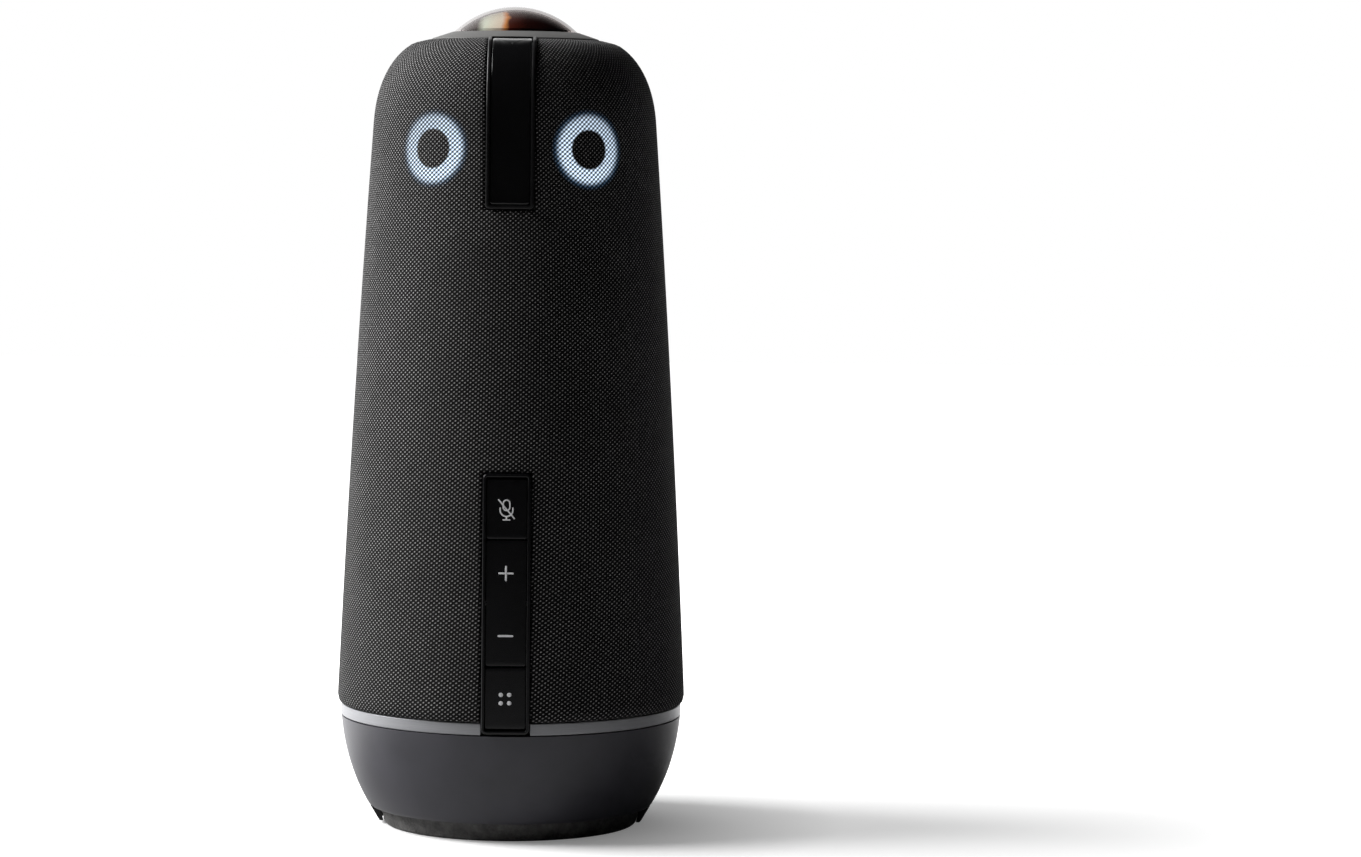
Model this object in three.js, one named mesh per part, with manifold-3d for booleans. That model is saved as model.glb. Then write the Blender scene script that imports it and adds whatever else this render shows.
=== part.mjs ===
// Conference speakerphone: a tapered, cloth-covered tower on a bowl base, with a panoramic camera under a
// glass dome, two lit eye rings, a glossy front badge, a strip of three keys and three loudspeakers.
// Millimetres, +Z up. The origin is the centre of the foot's underside and the front faces -Y.
// Azimuths run from the front (0 degrees) towards +X. Left and right are as seen from the front.
import * as THREE from "three";
import { mergeVertices } from "three/addons/utils/BufferGeometryUtils.js";
import Module from "manifold-3d";

const wasm = await Module();
wasm.setup();

// ---------------------------------------------------------------- driving dimensions
const GAP = 0.3; // clearance between neighbouring pieces
const ROUND = 32; // facets round the big shells
const DOME_ROUND = 24; // facets round the camera's glass
const SPEAKER_ROUND = 12; // facets round the drivers
const SMALL_ROUND = 12; // facets round screws, pins and bosses

const CLOTH = 1.0; // thickness of the cloth sleeve
const WALL = 2.4; // thickness of the moulded shells
const HEM = [55.9, 40.3]; // lower edge of the cloth, as radius and height
const HIP = [57.0, 43.5]; // widest point of the tower
const WAIST = [52.73, 136.75]; // control point that bows the wall outwards
const NECK = [46.16, 230]; // where the wall turns into the shoulder
const CREST = [33.3, 255.85]; // where the shoulder turns into the crown
const CROWN = [27.7, 257.2]; // upper edge of the cloth

const BOWL_FOOT = [46.5, 6.3]; // lower edge of the bowl
const BOWL_BELLY = [54.28, 18.9]; // control point of the bowl's curve
const BOWL_RIM = [55.8, 35.8]; // upper edge of the bowl
const TRIM_RADIUS = 55.9;
const TRIM_BOTTOM = 36.2;
const TRIM_TOP = 40.0;

const DOME_CENTRE = 239.3; // height of the centre of the dome's sphere
const DOME_RADIUS = 28.7;
const DOME_GLASS = 1.0;
const DOME_EDGE = 20.1; // radius of the dome's seat

const BADGE_WIDTH = 15.3;
const BADGE_BOTTOM = 202.7;
const BADGE_RIM = 1.1; // width of the rim round the glossy plate
const EYE_HEIGHT = 221.6;
const EYE_AZIMUTH = 32.2;
const EYE_OUTER = 11.8;
const EYE_INNER = 6.1;

const STRIP_HEIGHT = 78.1; // height of the rocker's pivot and of the strip's middle
const STRIP_WIDTH = 15.3;
const STRIP_TOP = 119.25;
const STRIP_BOTTOM = 36.8;
const KEY_WIDTH = 12.9;
const KEY_PROUD = 0.35;
const PIVOT_DEPTH = 3.9;
const BOARD_DEPTH = 7.0;

const SPEAKER_AZIMUTHS = { right: 60, rear: 180, left: 300 };
const SPEAKER_HEIGHT = 85;
const SPEAKER_FACE = 45.5; // distance from the axis to the front of a driver's flange
const SPEAKER_RADIUS = 23;

// ---------------------------------------------------------------- materials
const paint = (color, roughness, metalness = 0) =>
  new THREE.MeshStandardMaterial({ color, roughness, metalness });
const CLOTH_MIX = paint(0x3a3938, 0.95);
const SLATE = paint(0x3c3d41, 0.55);
const BLACK_PLASTIC = paint(0x19191b, 0.5);
const GLOSS_BLACK = paint(0x0b0b0c, 0.12);
const SILVER = paint(0x9fa1a6, 0.35, 0.6);
const GLASS = paint(0x2a2020, 0.05);
const COATED_GLASS = paint(0x160c0a, 0.05);
const OPAL = paint(0xeef4ff, 0.4);
const RUBBER = paint(0x202021, 0.9);
const SILICONE = paint(0xb9bcc0, 0.7);
const STEEL = paint(0x8d9094, 0.35, 1);
const BRASS = paint(0xb08d45, 0.35, 1);
const ALUMINIUM = paint(0xb4b8bc, 0.4, 1);
const CIRCUIT = paint(0x14502f, 0.5);
const FERRITE = paint(0x3b3b3e, 0.6, 0.3);
const PAPER = paint(0x26262a, 0.85);
const POLYIMIDE = paint(0xb4702a, 0.5);

// ---------------------------------------------------------------- shapes
const point = ([radius, height]) => new THREE.Vector2(radius, height);

// A closed geometry as a manifold-3d solid: shared corners merged and collapsed triangles dropped.
function solid(geometry) {
  const bare = geometry.index ? geometry.toNonIndexed() : geometry.clone();
  bare.deleteAttribute("normal");
  bare.deleteAttribute("uv");
  const merged = mergeVertices(bare, 1e-4);
  const corners = merged.index.array;
  const kept = [];
  for (let i = 0; i < corners.length; i += 3) {
    const [a, b, c] = corners.slice(i, i + 3);
    if (a !== b && b !== c && c !== a) kept.push(a, b, c);
  }
  return new wasm.Manifold(
    new wasm.Mesh({
      numProp: 3,
      vertProperties: merged.attributes.position.array,
      triVerts: new Uint32Array(kept),
    }),
  );
}

function geometryOf(manifold) {
  const { vertProperties, triVerts } = manifold.getMesh();
  const geometry = new THREE.BufferGeometry();
  geometry.setAttribute("position", new THREE.BufferAttribute(vertProperties, 3));
  geometry.setIndex(new THREE.BufferAttribute(triVerts, 1));
  return geometry;
}

const join = (first, ...others) =>
  geometryOf(others.reduce((whole, other) => whole.add(solid(other)), solid(first)));
const cut = (first, ...tools) =>
  geometryOf(tools.reduce((rest, tool) => rest.subtract(solid(tool)), solid(first)));
const overlap = (first, second) => geometryOf(solid(first).intersect(solid(second)));

// A body of revolution about Z, from a counter-clockwise outline of [radius, height] points.
function revolve(outline, facets = ROUND) {
  const points = outline.map(point);
  points.push(points[0]);
  return new THREE.LatheGeometry(points, facets).rotateX(Math.PI / 2);
}

function block(x0, x1, y0, y1, z0, z1) {
  const box = new THREE.BoxGeometry(x1 - x0, y1 - y0, z1 - z0);
  return box.translate((x0 + x1) / 2, (y0 + y1) / 2, (z0 + z1) / 2);
}

// A rod along Z, standing at x and y.
function rod(radius, z0, z1, facets = SMALL_ROUND, x = 0, y = 0) {
  const cylinder = new THREE.CylinderGeometry(radius, radius, z1 - z0, facets);
  return cylinder.rotateX(Math.PI / 2).translate(x, y, (z0 + z1) / 2);
}

// A side outline of [y, z] points, extruded to a width across X.
function slabAcross(outline, width) {
  const side = new THREE.ExtrudeGeometry(new THREE.Shape(outline.map(point)), {
    depth: width,
    bevelEnabled: false,
  });
  const turned = new THREE.Matrix4().makeBasis(
    new THREE.Vector3(0, 1, 0),
    new THREE.Vector3(0, 0, 1),
    new THREE.Vector3(1, 0, 0),
  );
  return side.applyMatrix4(turned).translate(-width / 2, 0, 0);
}

// A round-cornered plate in the XZ plane, from y0 to y1.
function roundedPlate(x0, x1, y0, y1, z0, z1, radius) {
  const shape = new THREE.Shape();
  shape.moveTo(x0 + radius, z0);
  shape.lineTo(x1 - radius, z0);
  shape.absarc(x1 - radius, z0 + radius, radius, -Math.PI / 2, 0);
  shape.absarc(x1 - radius, z1 - radius, radius, 0, Math.PI / 2);
  shape.absarc(x0 + radius, z1 - radius, radius, Math.PI / 2, Math.PI);
  shape.absarc(x0 + radius, z0 + radius, radius, Math.PI, Math.PI * 1.5);
  const plate = new THREE.ExtrudeGeometry(shape, {
    depth: y1 - y0,
    bevelEnabled: false,
    curveSegments: 3,
  });
  return plate.rotateX(Math.PI / 2).translate(0, y1, 0);
}

// The frame whose Z points straight out of the tower at an azimuth, with Y upwards.
function outward(azimuth, distance, height) {
  const turn = THREE.MathUtils.degToRad(azimuth);
  const out = new THREE.Vector3(Math.sin(turn), -Math.cos(turn), 0);
  const across = new THREE.Vector3(Math.cos(turn), Math.sin(turn), 0);
  const frame = new THREE.Matrix4().makeBasis(across, new THREE.Vector3(0, 0, 1), out);
  return frame.setPosition(out.x * distance, out.y * distance, height);
}

const part = new THREE.Group();

// Adds a named piece to the part, placed by a frame when it is modelled in its own.
function piece(name, geometry, material, frame = new THREE.Matrix4()) {
  const mesh = new THREE.Mesh(geometry, material);
  mesh.name = name;
  mesh.applyMatrix4(frame);
  part.add(mesh);
}

// ---------------------------------------------------------------- the tower's outline
// Cubic from the neck to the crest, straight to the crown, parabola down the wall, small curve at the hem.
const hemCurve = new THREE.QuadraticBezierCurve(point(HEM), point([57.2, 40.7]), point(HIP));
const wallCurve = new THREE.QuadraticBezierCurve(point(HIP), point(WAIST), point(NECK));
const shoulderCurve = new THREE.CubicBezierCurve(
  point(NECK),
  point([45.37, 242.16]),
  point([40.87, 251.45]),
  point(CREST),
);
const crownCurve = new THREE.LineCurve(point(CREST), point(CROWN));

// Points up a curve from one parameter to another, moved inwards by an inset.
function along(curve, inset, steps, from = 0, to = 1) {
  const line = [];
  for (let i = 0; i <= steps; i++) {
    const t = from + ((to - from) * i) / steps;
    const place = curve.getPoint(t);
    const heading = curve.getTangent(t);
    line.push([place.x - inset * heading.y, place.y + inset * heading.x]);
  }
  return line;
}

const wallStepAt = (height) => (height - HIP[1]) / (NECK[1] - HIP[1]);
const skinAt = (height) => wallCurve.getPoint(wallStepAt(height)).x;

// The outline from the hip to the crown, at an inset from the cloth's outer face.
function skinLine(inset) {
  return [
    ...along(wallCurve, inset, 2),
    ...along(shoulderCurve, inset, 5).slice(1),
    ...along(crownCurve, inset, 1).slice(1),
  ];
}

const clothOuter = [...along(hemCurve, 0, 2), ...skinLine(0).slice(1)];
const clothInner = [...along(hemCurve, CLOTH, 2), ...skinLine(CLOTH).slice(1)];
const HOUSING_INSET = CLOTH + GAP;
const HOUSING_INNER = HOUSING_INSET + WALL;

// ---------------------------------------------------------------- the front badge
// The badge lies over the shoulder, so its side outline follows the skin at two insets.
function badgeOutline(outerInset, innerInset, bottom, crownEnd) {
  const from = wallStepAt(bottom);
  const line = (inset) => [
    ...along(wallCurve, inset, 1, from, 1),
    ...along(shoulderCurve, inset, 6).slice(1),
    ...along(crownCurve, inset, 1, 0, crownEnd).slice(1),
  ];
  const sideView = (points) => points.map(([radius, height]) => [-radius, height]);
  return [...sideView(line(outerInset)), ...sideView(line(innerInset)).reverse()];
}

const BADGE_END = 0.93; // how far along the crown the badge reaches
const BADGE_PROUD = 0.6;
const BADGE_DEPTH = 1.9;
const plateWidth = BADGE_WIDTH - 2 * BADGE_RIM - 2 * GAP;
const badgeSlot = slabAcross(
  badgeOutline(-3, BADGE_DEPTH + GAP, BADGE_BOTTOM - GAP, 1.35),
  BADGE_WIDTH + 2 * GAP,
);
const plateRecess = slabAcross(
  badgeOutline(-3, BADGE_DEPTH - 0.8, BADGE_BOTTOM + BADGE_RIM, BADGE_END - 0.15),
  plateWidth + 2 * GAP,
);
piece(
  "beak_frame",
  cut(
    slabAcross(badgeOutline(-BADGE_PROUD, BADGE_DEPTH, BADGE_BOTTOM, BADGE_END), BADGE_WIDTH),
    plateRecess,
  ),
  BLACK_PLASTIC,
);
piece(
  "beak_plate",
  slabAcross(
    badgeOutline(-GAP, BADGE_DEPTH - 0.8 - GAP, BADGE_BOTTOM + BADGE_RIM + GAP, BADGE_END - 0.2),
    plateWidth,
  ),
  GLOSS_BLACK,
);

// ---------------------------------------------------------------- the key strip
// The strip leans back with the wall, so it has a frame of its own: Y goes into the body, Z up the strip.
const stripLean = Math.atan((HIP[0] - skinAt(STRIP_TOP)) / (STRIP_TOP - HIP[1]));
const stripFace = HIP[0] - Math.tan(stripLean) * (STRIP_HEIGHT - HIP[1]);
const stripFrame = new THREE.Matrix4()
  .makeTranslation(0, -stripFace, STRIP_HEIGHT)
  .multiply(new THREE.Matrix4().makeRotationX(-stripLean));
const stripUp = (height) => (height - STRIP_HEIGHT) / Math.cos(stripLean);
const BEZEL_PROUD = 0.7;
const BEZEL_DEPTH = 6.0;
const BEZEL_WALL = (STRIP_WIDTH - KEY_WIDTH) / 2 - 0.15;
const KEY_TOP = 117.5;
const SEAM_HIGH = 98.4;
const SEAM_LOW = 58.2;
const KEY_BOTTOM = 38.6;
const SEAM = 0.5;
const KEY_THICK = 2.6;
const STEM = 1.5; // half the width of a key's stem
const STEM_END = 5.0;
const ROCKER_STEM = 14.5; // how far a rocker stem stands from the pivot
const PIN_RADIUS = 0.8;

// A rod along X through the rocker's pivot.
const pivotRod = (radius, halfLength) =>
  rod(radius, -halfLength, halfLength).rotateY(Math.PI / 2).translate(0, PIVOT_DEPTH, 0);
const halfStrip = STRIP_WIDTH / 2;
const halfOpening = halfStrip - BEZEL_WALL;
const BOARD_THICK = 1.2;
const BOARD_HALF = 5.5;
const BOARD_REACH = 38; // half the length of the key board
const stripSlot = block(
  -halfStrip - GAP,
  halfStrip + GAP,
  -6,
  BEZEL_DEPTH + GAP,
  stripUp(STRIP_BOTTOM) - GAP,
  stripUp(STRIP_TOP) + GAP,
).applyMatrix4(stripFrame);
const boardSlot = block(
  -BOARD_HALF - GAP,
  BOARD_HALF + GAP,
  -6,
  BOARD_DEPTH + BOARD_THICK + GAP,
  -BOARD_REACH - GAP,
  BOARD_REACH + GAP,
).applyMatrix4(stripFrame);
piece(
  "button_bezel",
  cut(
    roundedPlate(
      -halfStrip,
      halfStrip,
      -BEZEL_PROUD,
      BEZEL_DEPTH,
      stripUp(STRIP_BOTTOM),
      stripUp(STRIP_TOP),
      1.6,
    ),
    block(-halfOpening, halfOpening, -3, 9, stripUp(KEY_BOTTOM) - GAP, stripUp(KEY_TOP) + GAP),
    pivotRod(PIN_RADIUS + GAP, halfStrip + 1),
  ),
  BLACK_PLASTIC,
  stripFrame,
);

// A key cap between two heights, with stems on its back at the given places up the strip.
function keyCap(bottom, top, stems) {
  const half = KEY_WIDTH / 2;
  const cap = roundedPlate(-half, half, -KEY_PROUD, KEY_THICK, stripUp(bottom), stripUp(top), 0.6);
  const stem = (up) => block(-STEM, STEM, KEY_THICK - 0.5, STEM_END, up - STEM, up + STEM);
  return join(cap, ...stems.map(stem));
}

const muteMiddle = stripUp((SEAM_HIGH + KEY_TOP) / 2);
const linkMiddle = stripUp((SEAM_LOW + KEY_BOTTOM) / 2);
piece("mute_key", keyCap(SEAM_HIGH + SEAM / 2, KEY_TOP, [muteMiddle]), GLOSS_BLACK, stripFrame);
piece("link_key", keyCap(KEY_BOTTOM, SEAM_LOW - SEAM / 2, [linkMiddle]), GLOSS_BLACK, stripFrame);
const RIB = 2.1; // half the height of the rocker's pivot rib
piece(
  "volume_rocker",
  cut(
    join(
      keyCap(SEAM_LOW + SEAM / 2, SEAM_HIGH - SEAM / 2, [ROCKER_STEM, -ROCKER_STEM]),
      block(-4, 4, KEY_THICK - 0.5, PIVOT_DEPTH + RIB, -RIB, RIB),
    ),
    pivotRod(PIN_RADIUS + GAP, 9),
  ),
  GLOSS_BLACK,
  stripFrame,
);
piece("rocker_pin", pivotRod(PIN_RADIUS, halfStrip - GAP), STEEL, stripFrame);

// Silicone domes under the stems, and the board that they stand on.
const DOME_FOOT = BOARD_DEPTH - GAP;
const DOME_HEAD = STEM_END + GAP;
const switchDome = (up) =>
  revolve(
    [
      [0, DOME_HEAD],
      [0, DOME_FOOT],
      [2.6, DOME_FOOT],
      [2.6, DOME_FOOT - 0.3],
      [1.5, DOME_HEAD],
    ].reverse(),
    SMALL_ROUND,
  )
    .rotateX(-Math.PI / 2)
    .translate(0, 0, up);
piece("mute_dome", switchDome(muteMiddle), SILICONE, stripFrame);
piece("volume_up_dome", switchDome(ROCKER_STEM), SILICONE, stripFrame);
piece("volume_down_dome", switchDome(-ROCKER_STEM), SILICONE, stripFrame);
piece("link_dome", switchDome(linkMiddle), SILICONE, stripFrame);
piece(
  "button_board",
  join(
    block(
      -BOARD_HALF,
      BOARD_HALF,
      BOARD_DEPTH,
      BOARD_DEPTH + BOARD_THICK,
      -BOARD_REACH,
      BOARD_REACH,
    ),
    block(-3.5, 3.5, BOARD_DEPTH + 1, BOARD_DEPTH + 3.4, 4, 12),
  ),
  CIRCUIT,
  stripFrame,
);

// ---------------------------------------------------------------- the eyes
// Each opal ring is curved to the wall and shines through the cloth; its board stands behind it.
const tube = (outer, inner, z0, z1, facets) =>
  cut(rod(outer, z0, z1, facets), rod(inner, z0 - 1, z1 + 1, facets));
const wallBand = revolve([...skinLine(HOUSING_INSET), ...skinLine(HOUSING_INNER).reverse()]);
const EYE_FACETS = 20;
const eyeWindows = [];
for (const [side, azimuth] of [["left", -EYE_AZIMUTH], ["right", EYE_AZIMUTH]]) {
  const frame = outward(azimuth, skinAt(EYE_HEIGHT), EYE_HEIGHT);
  const ring = tube(EYE_OUTER, EYE_INNER, -15, 5, EYE_FACETS).applyMatrix4(frame);
  piece(`eye_ring_${side}`, overlap(ring, wallBand), OPAL);
  eyeWindows.push(rod(EYE_OUTER + GAP, -15, 5, EYE_FACETS).applyMatrix4(frame));
  const lamps = [];
  for (let i = 0; i < 6; i++) {
    const turn = (i * Math.PI) / 3;
    const [x, y] = [9.2 * Math.cos(turn), 9.2 * Math.sin(turn)];
    lamps.push(block(x - 1.2, x + 1.2, y - 1.2, y + 1.2, -7.3, -6.2));
  }
  piece(`eye_board_${side}`, join(rod(12.6, -8.4, -7.2, 16), ...lamps), CIRCUIT, frame);
}

// ---------------------------------------------------------------- the speakers' places in the wall
const SLOT_PITCH = 10.4;
const SLOT_HALF = 3.4;
const SLOT_REACH = 17.5;
const speakerCollars = [];
const speakerSlots = [];
const insideSkin = revolve([[0, 40], ...skinLine(HOUSING_INSET + 1), [0, CROWN[1] - 4]]);
for (const azimuth of Object.values(SPEAKER_AZIMUTHS)) {
  const frame = outward(azimuth, SPEAKER_FACE, SPEAKER_HEIGHT);
  const collar = tube(SPEAKER_RADIUS, SPEAKER_RADIUS - 2.6, GAP, 12, SPEAKER_ROUND).applyMatrix4(frame);
  speakerCollars.push(overlap(collar, insideSkin));
  for (let i = -1; i <= 1; i++) {
    const x = i * SLOT_PITCH;
    const reach = Math.sqrt(SLOT_REACH ** 2 - x ** 2);
    const slot = block(x - SLOT_HALF, x + SLOT_HALF, -reach, reach, -1, 15);
    speakerSlots.push(slot.applyMatrix4(frame));
  }
}

// ---------------------------------------------------------------- the tower
const MIC_COUNT = 8;
const MIC_HEIGHT = 246;
const micHoles = [];
for (let i = 0; i < MIC_COUNT; i++) {
  const frame = outward((360 * (i + 0.5)) / MIC_COUNT, 40, MIC_HEIGHT);
  micHoles.push(rod(1.3, -6, 6, 4).applyMatrix4(frame));
}
const SPIGOT_OUTER = 52.8;
const SPIGOT_INNER = 50.3;
const SPIGOT_BOTTOM = 33.8;
const SPIGOT_TOP = 41.3;
const housingOuter = skinLine(HOUSING_INSET);
const housingInner = skinLine(HOUSING_INNER);
const HOUSING_MOUTH = 24.9; // radius of the camera's opening in the crown
const crownSlope = (CREST[1] - CROWN[1]) / (CREST[0] - CROWN[0]);
const crownAt = (radius, inset) => [radius, CROWN[1] + crownSlope * (radius - CROWN[0]) - inset];
piece(
  "upper_housing",
  cut(
    join(
      revolve([
        [SPIGOT_INNER, SPIGOT_BOTTOM],
        [SPIGOT_OUTER, SPIGOT_BOTTOM],
        [SPIGOT_OUTER, SPIGOT_TOP],
        [54.6, SPIGOT_TOP],
        ...housingOuter,
        crownAt(HOUSING_MOUTH, HOUSING_INSET),
        crownAt(HOUSING_MOUTH, HOUSING_INNER),
        ...housingInner.slice(1).reverse(),
        [housingInner[0][0], 47],
        [SPIGOT_INNER, 44],
      ]),
      ...speakerCollars,
    ),
    badgeSlot,
    stripSlot,
    boardSlot,
    ...eyeWindows,
    ...speakerSlots,
    ...micHoles,
  ),
  BLACK_PLASTIC,
);
piece(
  "fabric_sleeve",
  cut(revolve([...clothOuter, ...clothInner.reverse()]), badgeSlot, stripSlot),
  CLOTH_MIX,
);
piece(
  "trim_ring",
  cut(
    revolve([
      [SPIGOT_OUTER + GAP, TRIM_BOTTOM],
      [TRIM_RADIUS, TRIM_BOTTOM],
      [TRIM_RADIUS, TRIM_TOP],
      [SPIGOT_OUTER + GAP, TRIM_TOP],
    ]),
    stripSlot,
  ),
  SILVER,
);

// ---------------------------------------------------------------- the loudspeakers
// Modelled with Z out of the tower and zero at the flange's front, then turned to each azimuth.
for (const [side, azimuth] of Object.entries(SPEAKER_AZIMUTHS)) {
  const frame = outward(azimuth, SPEAKER_FACE, SPEAKER_HEIGHT);
  const driver = (name, outline, material) =>
    piece(`speaker_${name}_${side}`, revolve(outline, SPEAKER_ROUND), material, frame);
  driver(
    "frame",
    [
      [7, -15.5],
      [12.5, -15.5],
      [20.6, -3.8],
      [20.6, -2],
      [SPEAKER_RADIUS, -2],
      [SPEAKER_RADIUS, 0],
      [19.3, 0],
      [19.3, -3.4],
      [11.2, -14],
      [7, -14],
    ],
    STEEL,
  );
  driver(
    "magnet",
    [
      [0, -24],
      [12, -24],
      [12, -15.8],
      [6.9, -15.8],
      [6.9, -20],
      [5.2, -20],
      [5.2, -15.2],
      [0, -15.2],
    ],
    FERRITE,
  );
  driver(
    "cone",
    [
      [0, -7],
      [5.6, -8.6],
      [5.6, -16.8],
      [6.4, -16.8],
      [6.4, -8.9],
      [16.6, -3],
      [16.6, -2.2],
      [6.8, -7.6],
      [0, -6],
    ],
    PAPER,
  );
  driver(
    "surround",
    [
      [16.9, -3],
      [17.5, -3],
      [18, -1.8],
      [18.5, -3],
      [18.9, -3],
      [18.6, -1.4],
      [17.4, -1.4],
      [16.9, -2.2],
    ],
    RUBBER,
  );
  driver(
    "spider",
    [
      [6.8, -11.6],
      [12.2, -11.6],
      [12.2, -11],
      [6.8, -11],
    ],
    POLYIMIDE,
  );
}

// ---------------------------------------------------------------- the camera
// Part of a sphere's outline about the dome's centre, from the axis out to a radius.
function cap(radius, reach, steps) {
  const end = Math.asin(reach / radius);
  const line = [];
  for (let i = 0; i <= steps; i++) {
    const turn = (end * i) / steps;
    line.push([radius * Math.sin(turn), DOME_CENTRE + radius * Math.cos(turn)]);
  }
  return line;
}

const DOME_SEAT = 257.5;
const domeInner = DOME_EDGE - 2.1;
piece(
  "lens_dome",
  revolve(
    [
      ...cap(DOME_RADIUS - DOME_GLASS, domeInner, 4),
      [domeInner, DOME_SEAT],
      [DOME_EDGE, DOME_SEAT],
      ...cap(DOME_RADIUS, DOME_EDGE, 5).reverse(),
    ],
    DOME_ROUND,
  ),
  GLASS,
);
const ELEMENT_EDGE = 17.2;
const ELEMENT_SEAT = 258.6;
const elementRadius = DOME_RADIUS - DOME_GLASS - 0.4;
piece(
  "lens_element",
  revolve(
    [[0, ELEMENT_SEAT], [ELEMENT_EDGE, ELEMENT_SEAT], ...cap(elementRadius, ELEMENT_EDGE, 4).reverse()],
    DOME_ROUND,
  ),
  COATED_GLASS,
);
const RING_EDGE = 27.3;
piece(
  "top_ring",
  revolve([
    [22.5, 251],
    [24.6, 251],
    [24.6, 257],
    [RING_EDGE, 256.4],
    [RING_EDGE, 257.4],
    [DOME_EDGE + GAP, 259.7],
    [DOME_EDGE + GAP, DOME_SEAT - GAP],
    [18.5, DOME_SEAT - GAP],
    [18.5, 255.6],
    [22.5, 255.6],
  ]),
  BLACK_PLASTIC,
);
piece(
  "lens_barrel",
  revolve(
    [
      [0, 229.4],
      [9, 229.4],
      [9, 236],
      [14, 238],
      [14, 257],
      [17.8, 257],
      [17.8, ELEMENT_SEAT - GAP],
      [12, ELEMENT_SEAT - GAP],
      [12, 240],
      [7, 238],
      [7, 231],
      [0, 231],
    ],
    16,
  ),
  ALUMINIUM,
);
const cameraTabs = [0, 1, 2].map((i) => {
  const frame = outward(60 + 120 * i, 0, 0);
  return block(-3, 3, 243, 247.5, 17, 19).applyMatrix4(frame);
});
piece("camera_bracket", join(tube(22.1, 14.4, 247, 249.4, 16), ...cameraTabs), STEEL);
piece(
  "sensor_board",
  join(block(-12, 12, -12, 12, 226, 227.3), block(-5, 5, -5, 5, 227.2, 228.9)),
  CIRCUIT,
);
const MIC_BOARD_Z = 239;
const micCans = [];
for (let i = 0; i < MIC_COUNT; i++) {
  const frame = outward((360 * (i + 0.5)) / MIC_COUNT, 0, MIC_BOARD_Z);
  micCans.push(block(-1.9, 1.9, -0.1, 1.2, 34.5, 37.5).applyMatrix4(frame));
}
piece("mic_board", join(tube(38.6, 25, MIC_BOARD_Z - 1.4, MIC_BOARD_Z, 24), ...micCans), CIRCUIT);

// ---------------------------------------------------------------- the core
// A floor disc, a hollow post between the magnets and a shelf carry the main board and its heat sink.
const SHELF_Z = 128;
const MAIN_BOARD_Z = 134;
const standoffs = [45, 135, 225, 315].map((azimuth) => {
  const turn = THREE.MathUtils.degToRad(azimuth);
  const [x, y] = [33 * Math.sin(turn), -33 * Math.cos(turn)];
  return rod(2.6, SHELF_Z + 2, MAIN_BOARD_Z - GAP, 8, x, y);
});
piece(
  "inner_chassis",
  join(
    revolve(
      [
        [8, 34.2],
        [49.8, 34.2],
        [49.8, 36.6],
        [10.5, 36.6],
        [10.5, SHELF_Z],
        [39, SHELF_Z],
        [39, SHELF_Z + 2.4],
        [8, SHELF_Z + 2.4],
      ],
      24,
    ),
    ...standoffs,
  ),
  BLACK_PLASTIC,
);
const boardTop = MAIN_BOARD_Z + 1.6;
piece(
  "main_board",
  join(
    rod(38, MAIN_BOARD_Z, boardTop, 24),
    block(-8, 8, -8, 8, boardTop - 0.1, boardTop + 1.8),
    block(-30, -22, -9, 9, boardTop - 0.1, boardTop + 5),
    block(23, 31, -6, 6, boardTop - 0.1, boardTop + 3.5),
    block(-7, 7, -32, -27, boardTop - 0.1, boardTop + 4),
    rod(3.2, boardTop - 0.1, boardTop + 9, 8, -14, 28),
    rod(3.2, boardTop - 0.1, boardTop + 9, 8, -4, 30),
  ),
  CIRCUIT,
);
const SINK_Z = boardTop + 1.8 + GAP;
const fins = [-3, -2, -1, 0, 1, 2, 3].map((i) =>
  block(i * 5 - 0.8, i * 5 + 0.8, -18, 18, SINK_Z + 2, SINK_Z + 16),
);
piece("heat_sink", join(block(-18, 18, -18, 18, SINK_Z, SINK_Z + 3), ...fins), ALUMINIUM);

// The flat cable runs from the sensor board down past the heat sink to the main board's front socket.
const RIBBON_WIDTH = 8;
const ribbonPath = new THREE.CatmullRomCurve3([
  new THREE.Vector3(0, -14, 226),
  new THREE.Vector3(0, -17.5, 222),
  new THREE.Vector3(0, -20, 205),
  new THREE.Vector3(0, -23, 170),
  new THREE.Vector3(0, -29, 150),
  new THREE.Vector3(0, -29.5, boardTop + 4.4),
]);
const ribbonLine = ribbonPath.getSpacedPoints(14).map((spot) => [spot.y, spot.z]);
const RIBBON_THICK = 0.5;
const ribbonBack = ribbonLine.map(([y, z]) => [y + RIBBON_THICK, z]).reverse();
piece("camera_ribbon", slabAcross([...ribbonLine, ...ribbonBack], RIBBON_WIDTH), POLYIMIDE);

// ---------------------------------------------------------------- the base
const bowlCurve = new THREE.QuadraticBezierCurve(point(BOWL_FOOT), point(BOWL_BELLY), point(BOWL_RIM));
const bowlOuter = along(bowlCurve, 0, 6);
const bowlInner = along(bowlCurve, WALL, 4).slice(1);
const FLOOR_TOP = BOWL_FOOT[1] + WALL;
const FLOOR_MOUTH = 21;
const SCREW_CIRCLE = 27;
const BOSS_TOP = 16;
const screwSpots = [45, 135, 225, 315].map((azimuth) => {
  const turn = THREE.MathUtils.degToRad(azimuth);
  return [SCREW_CIRCLE * Math.sin(turn), -SCREW_CIRCLE * Math.cos(turn)];
});

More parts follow.
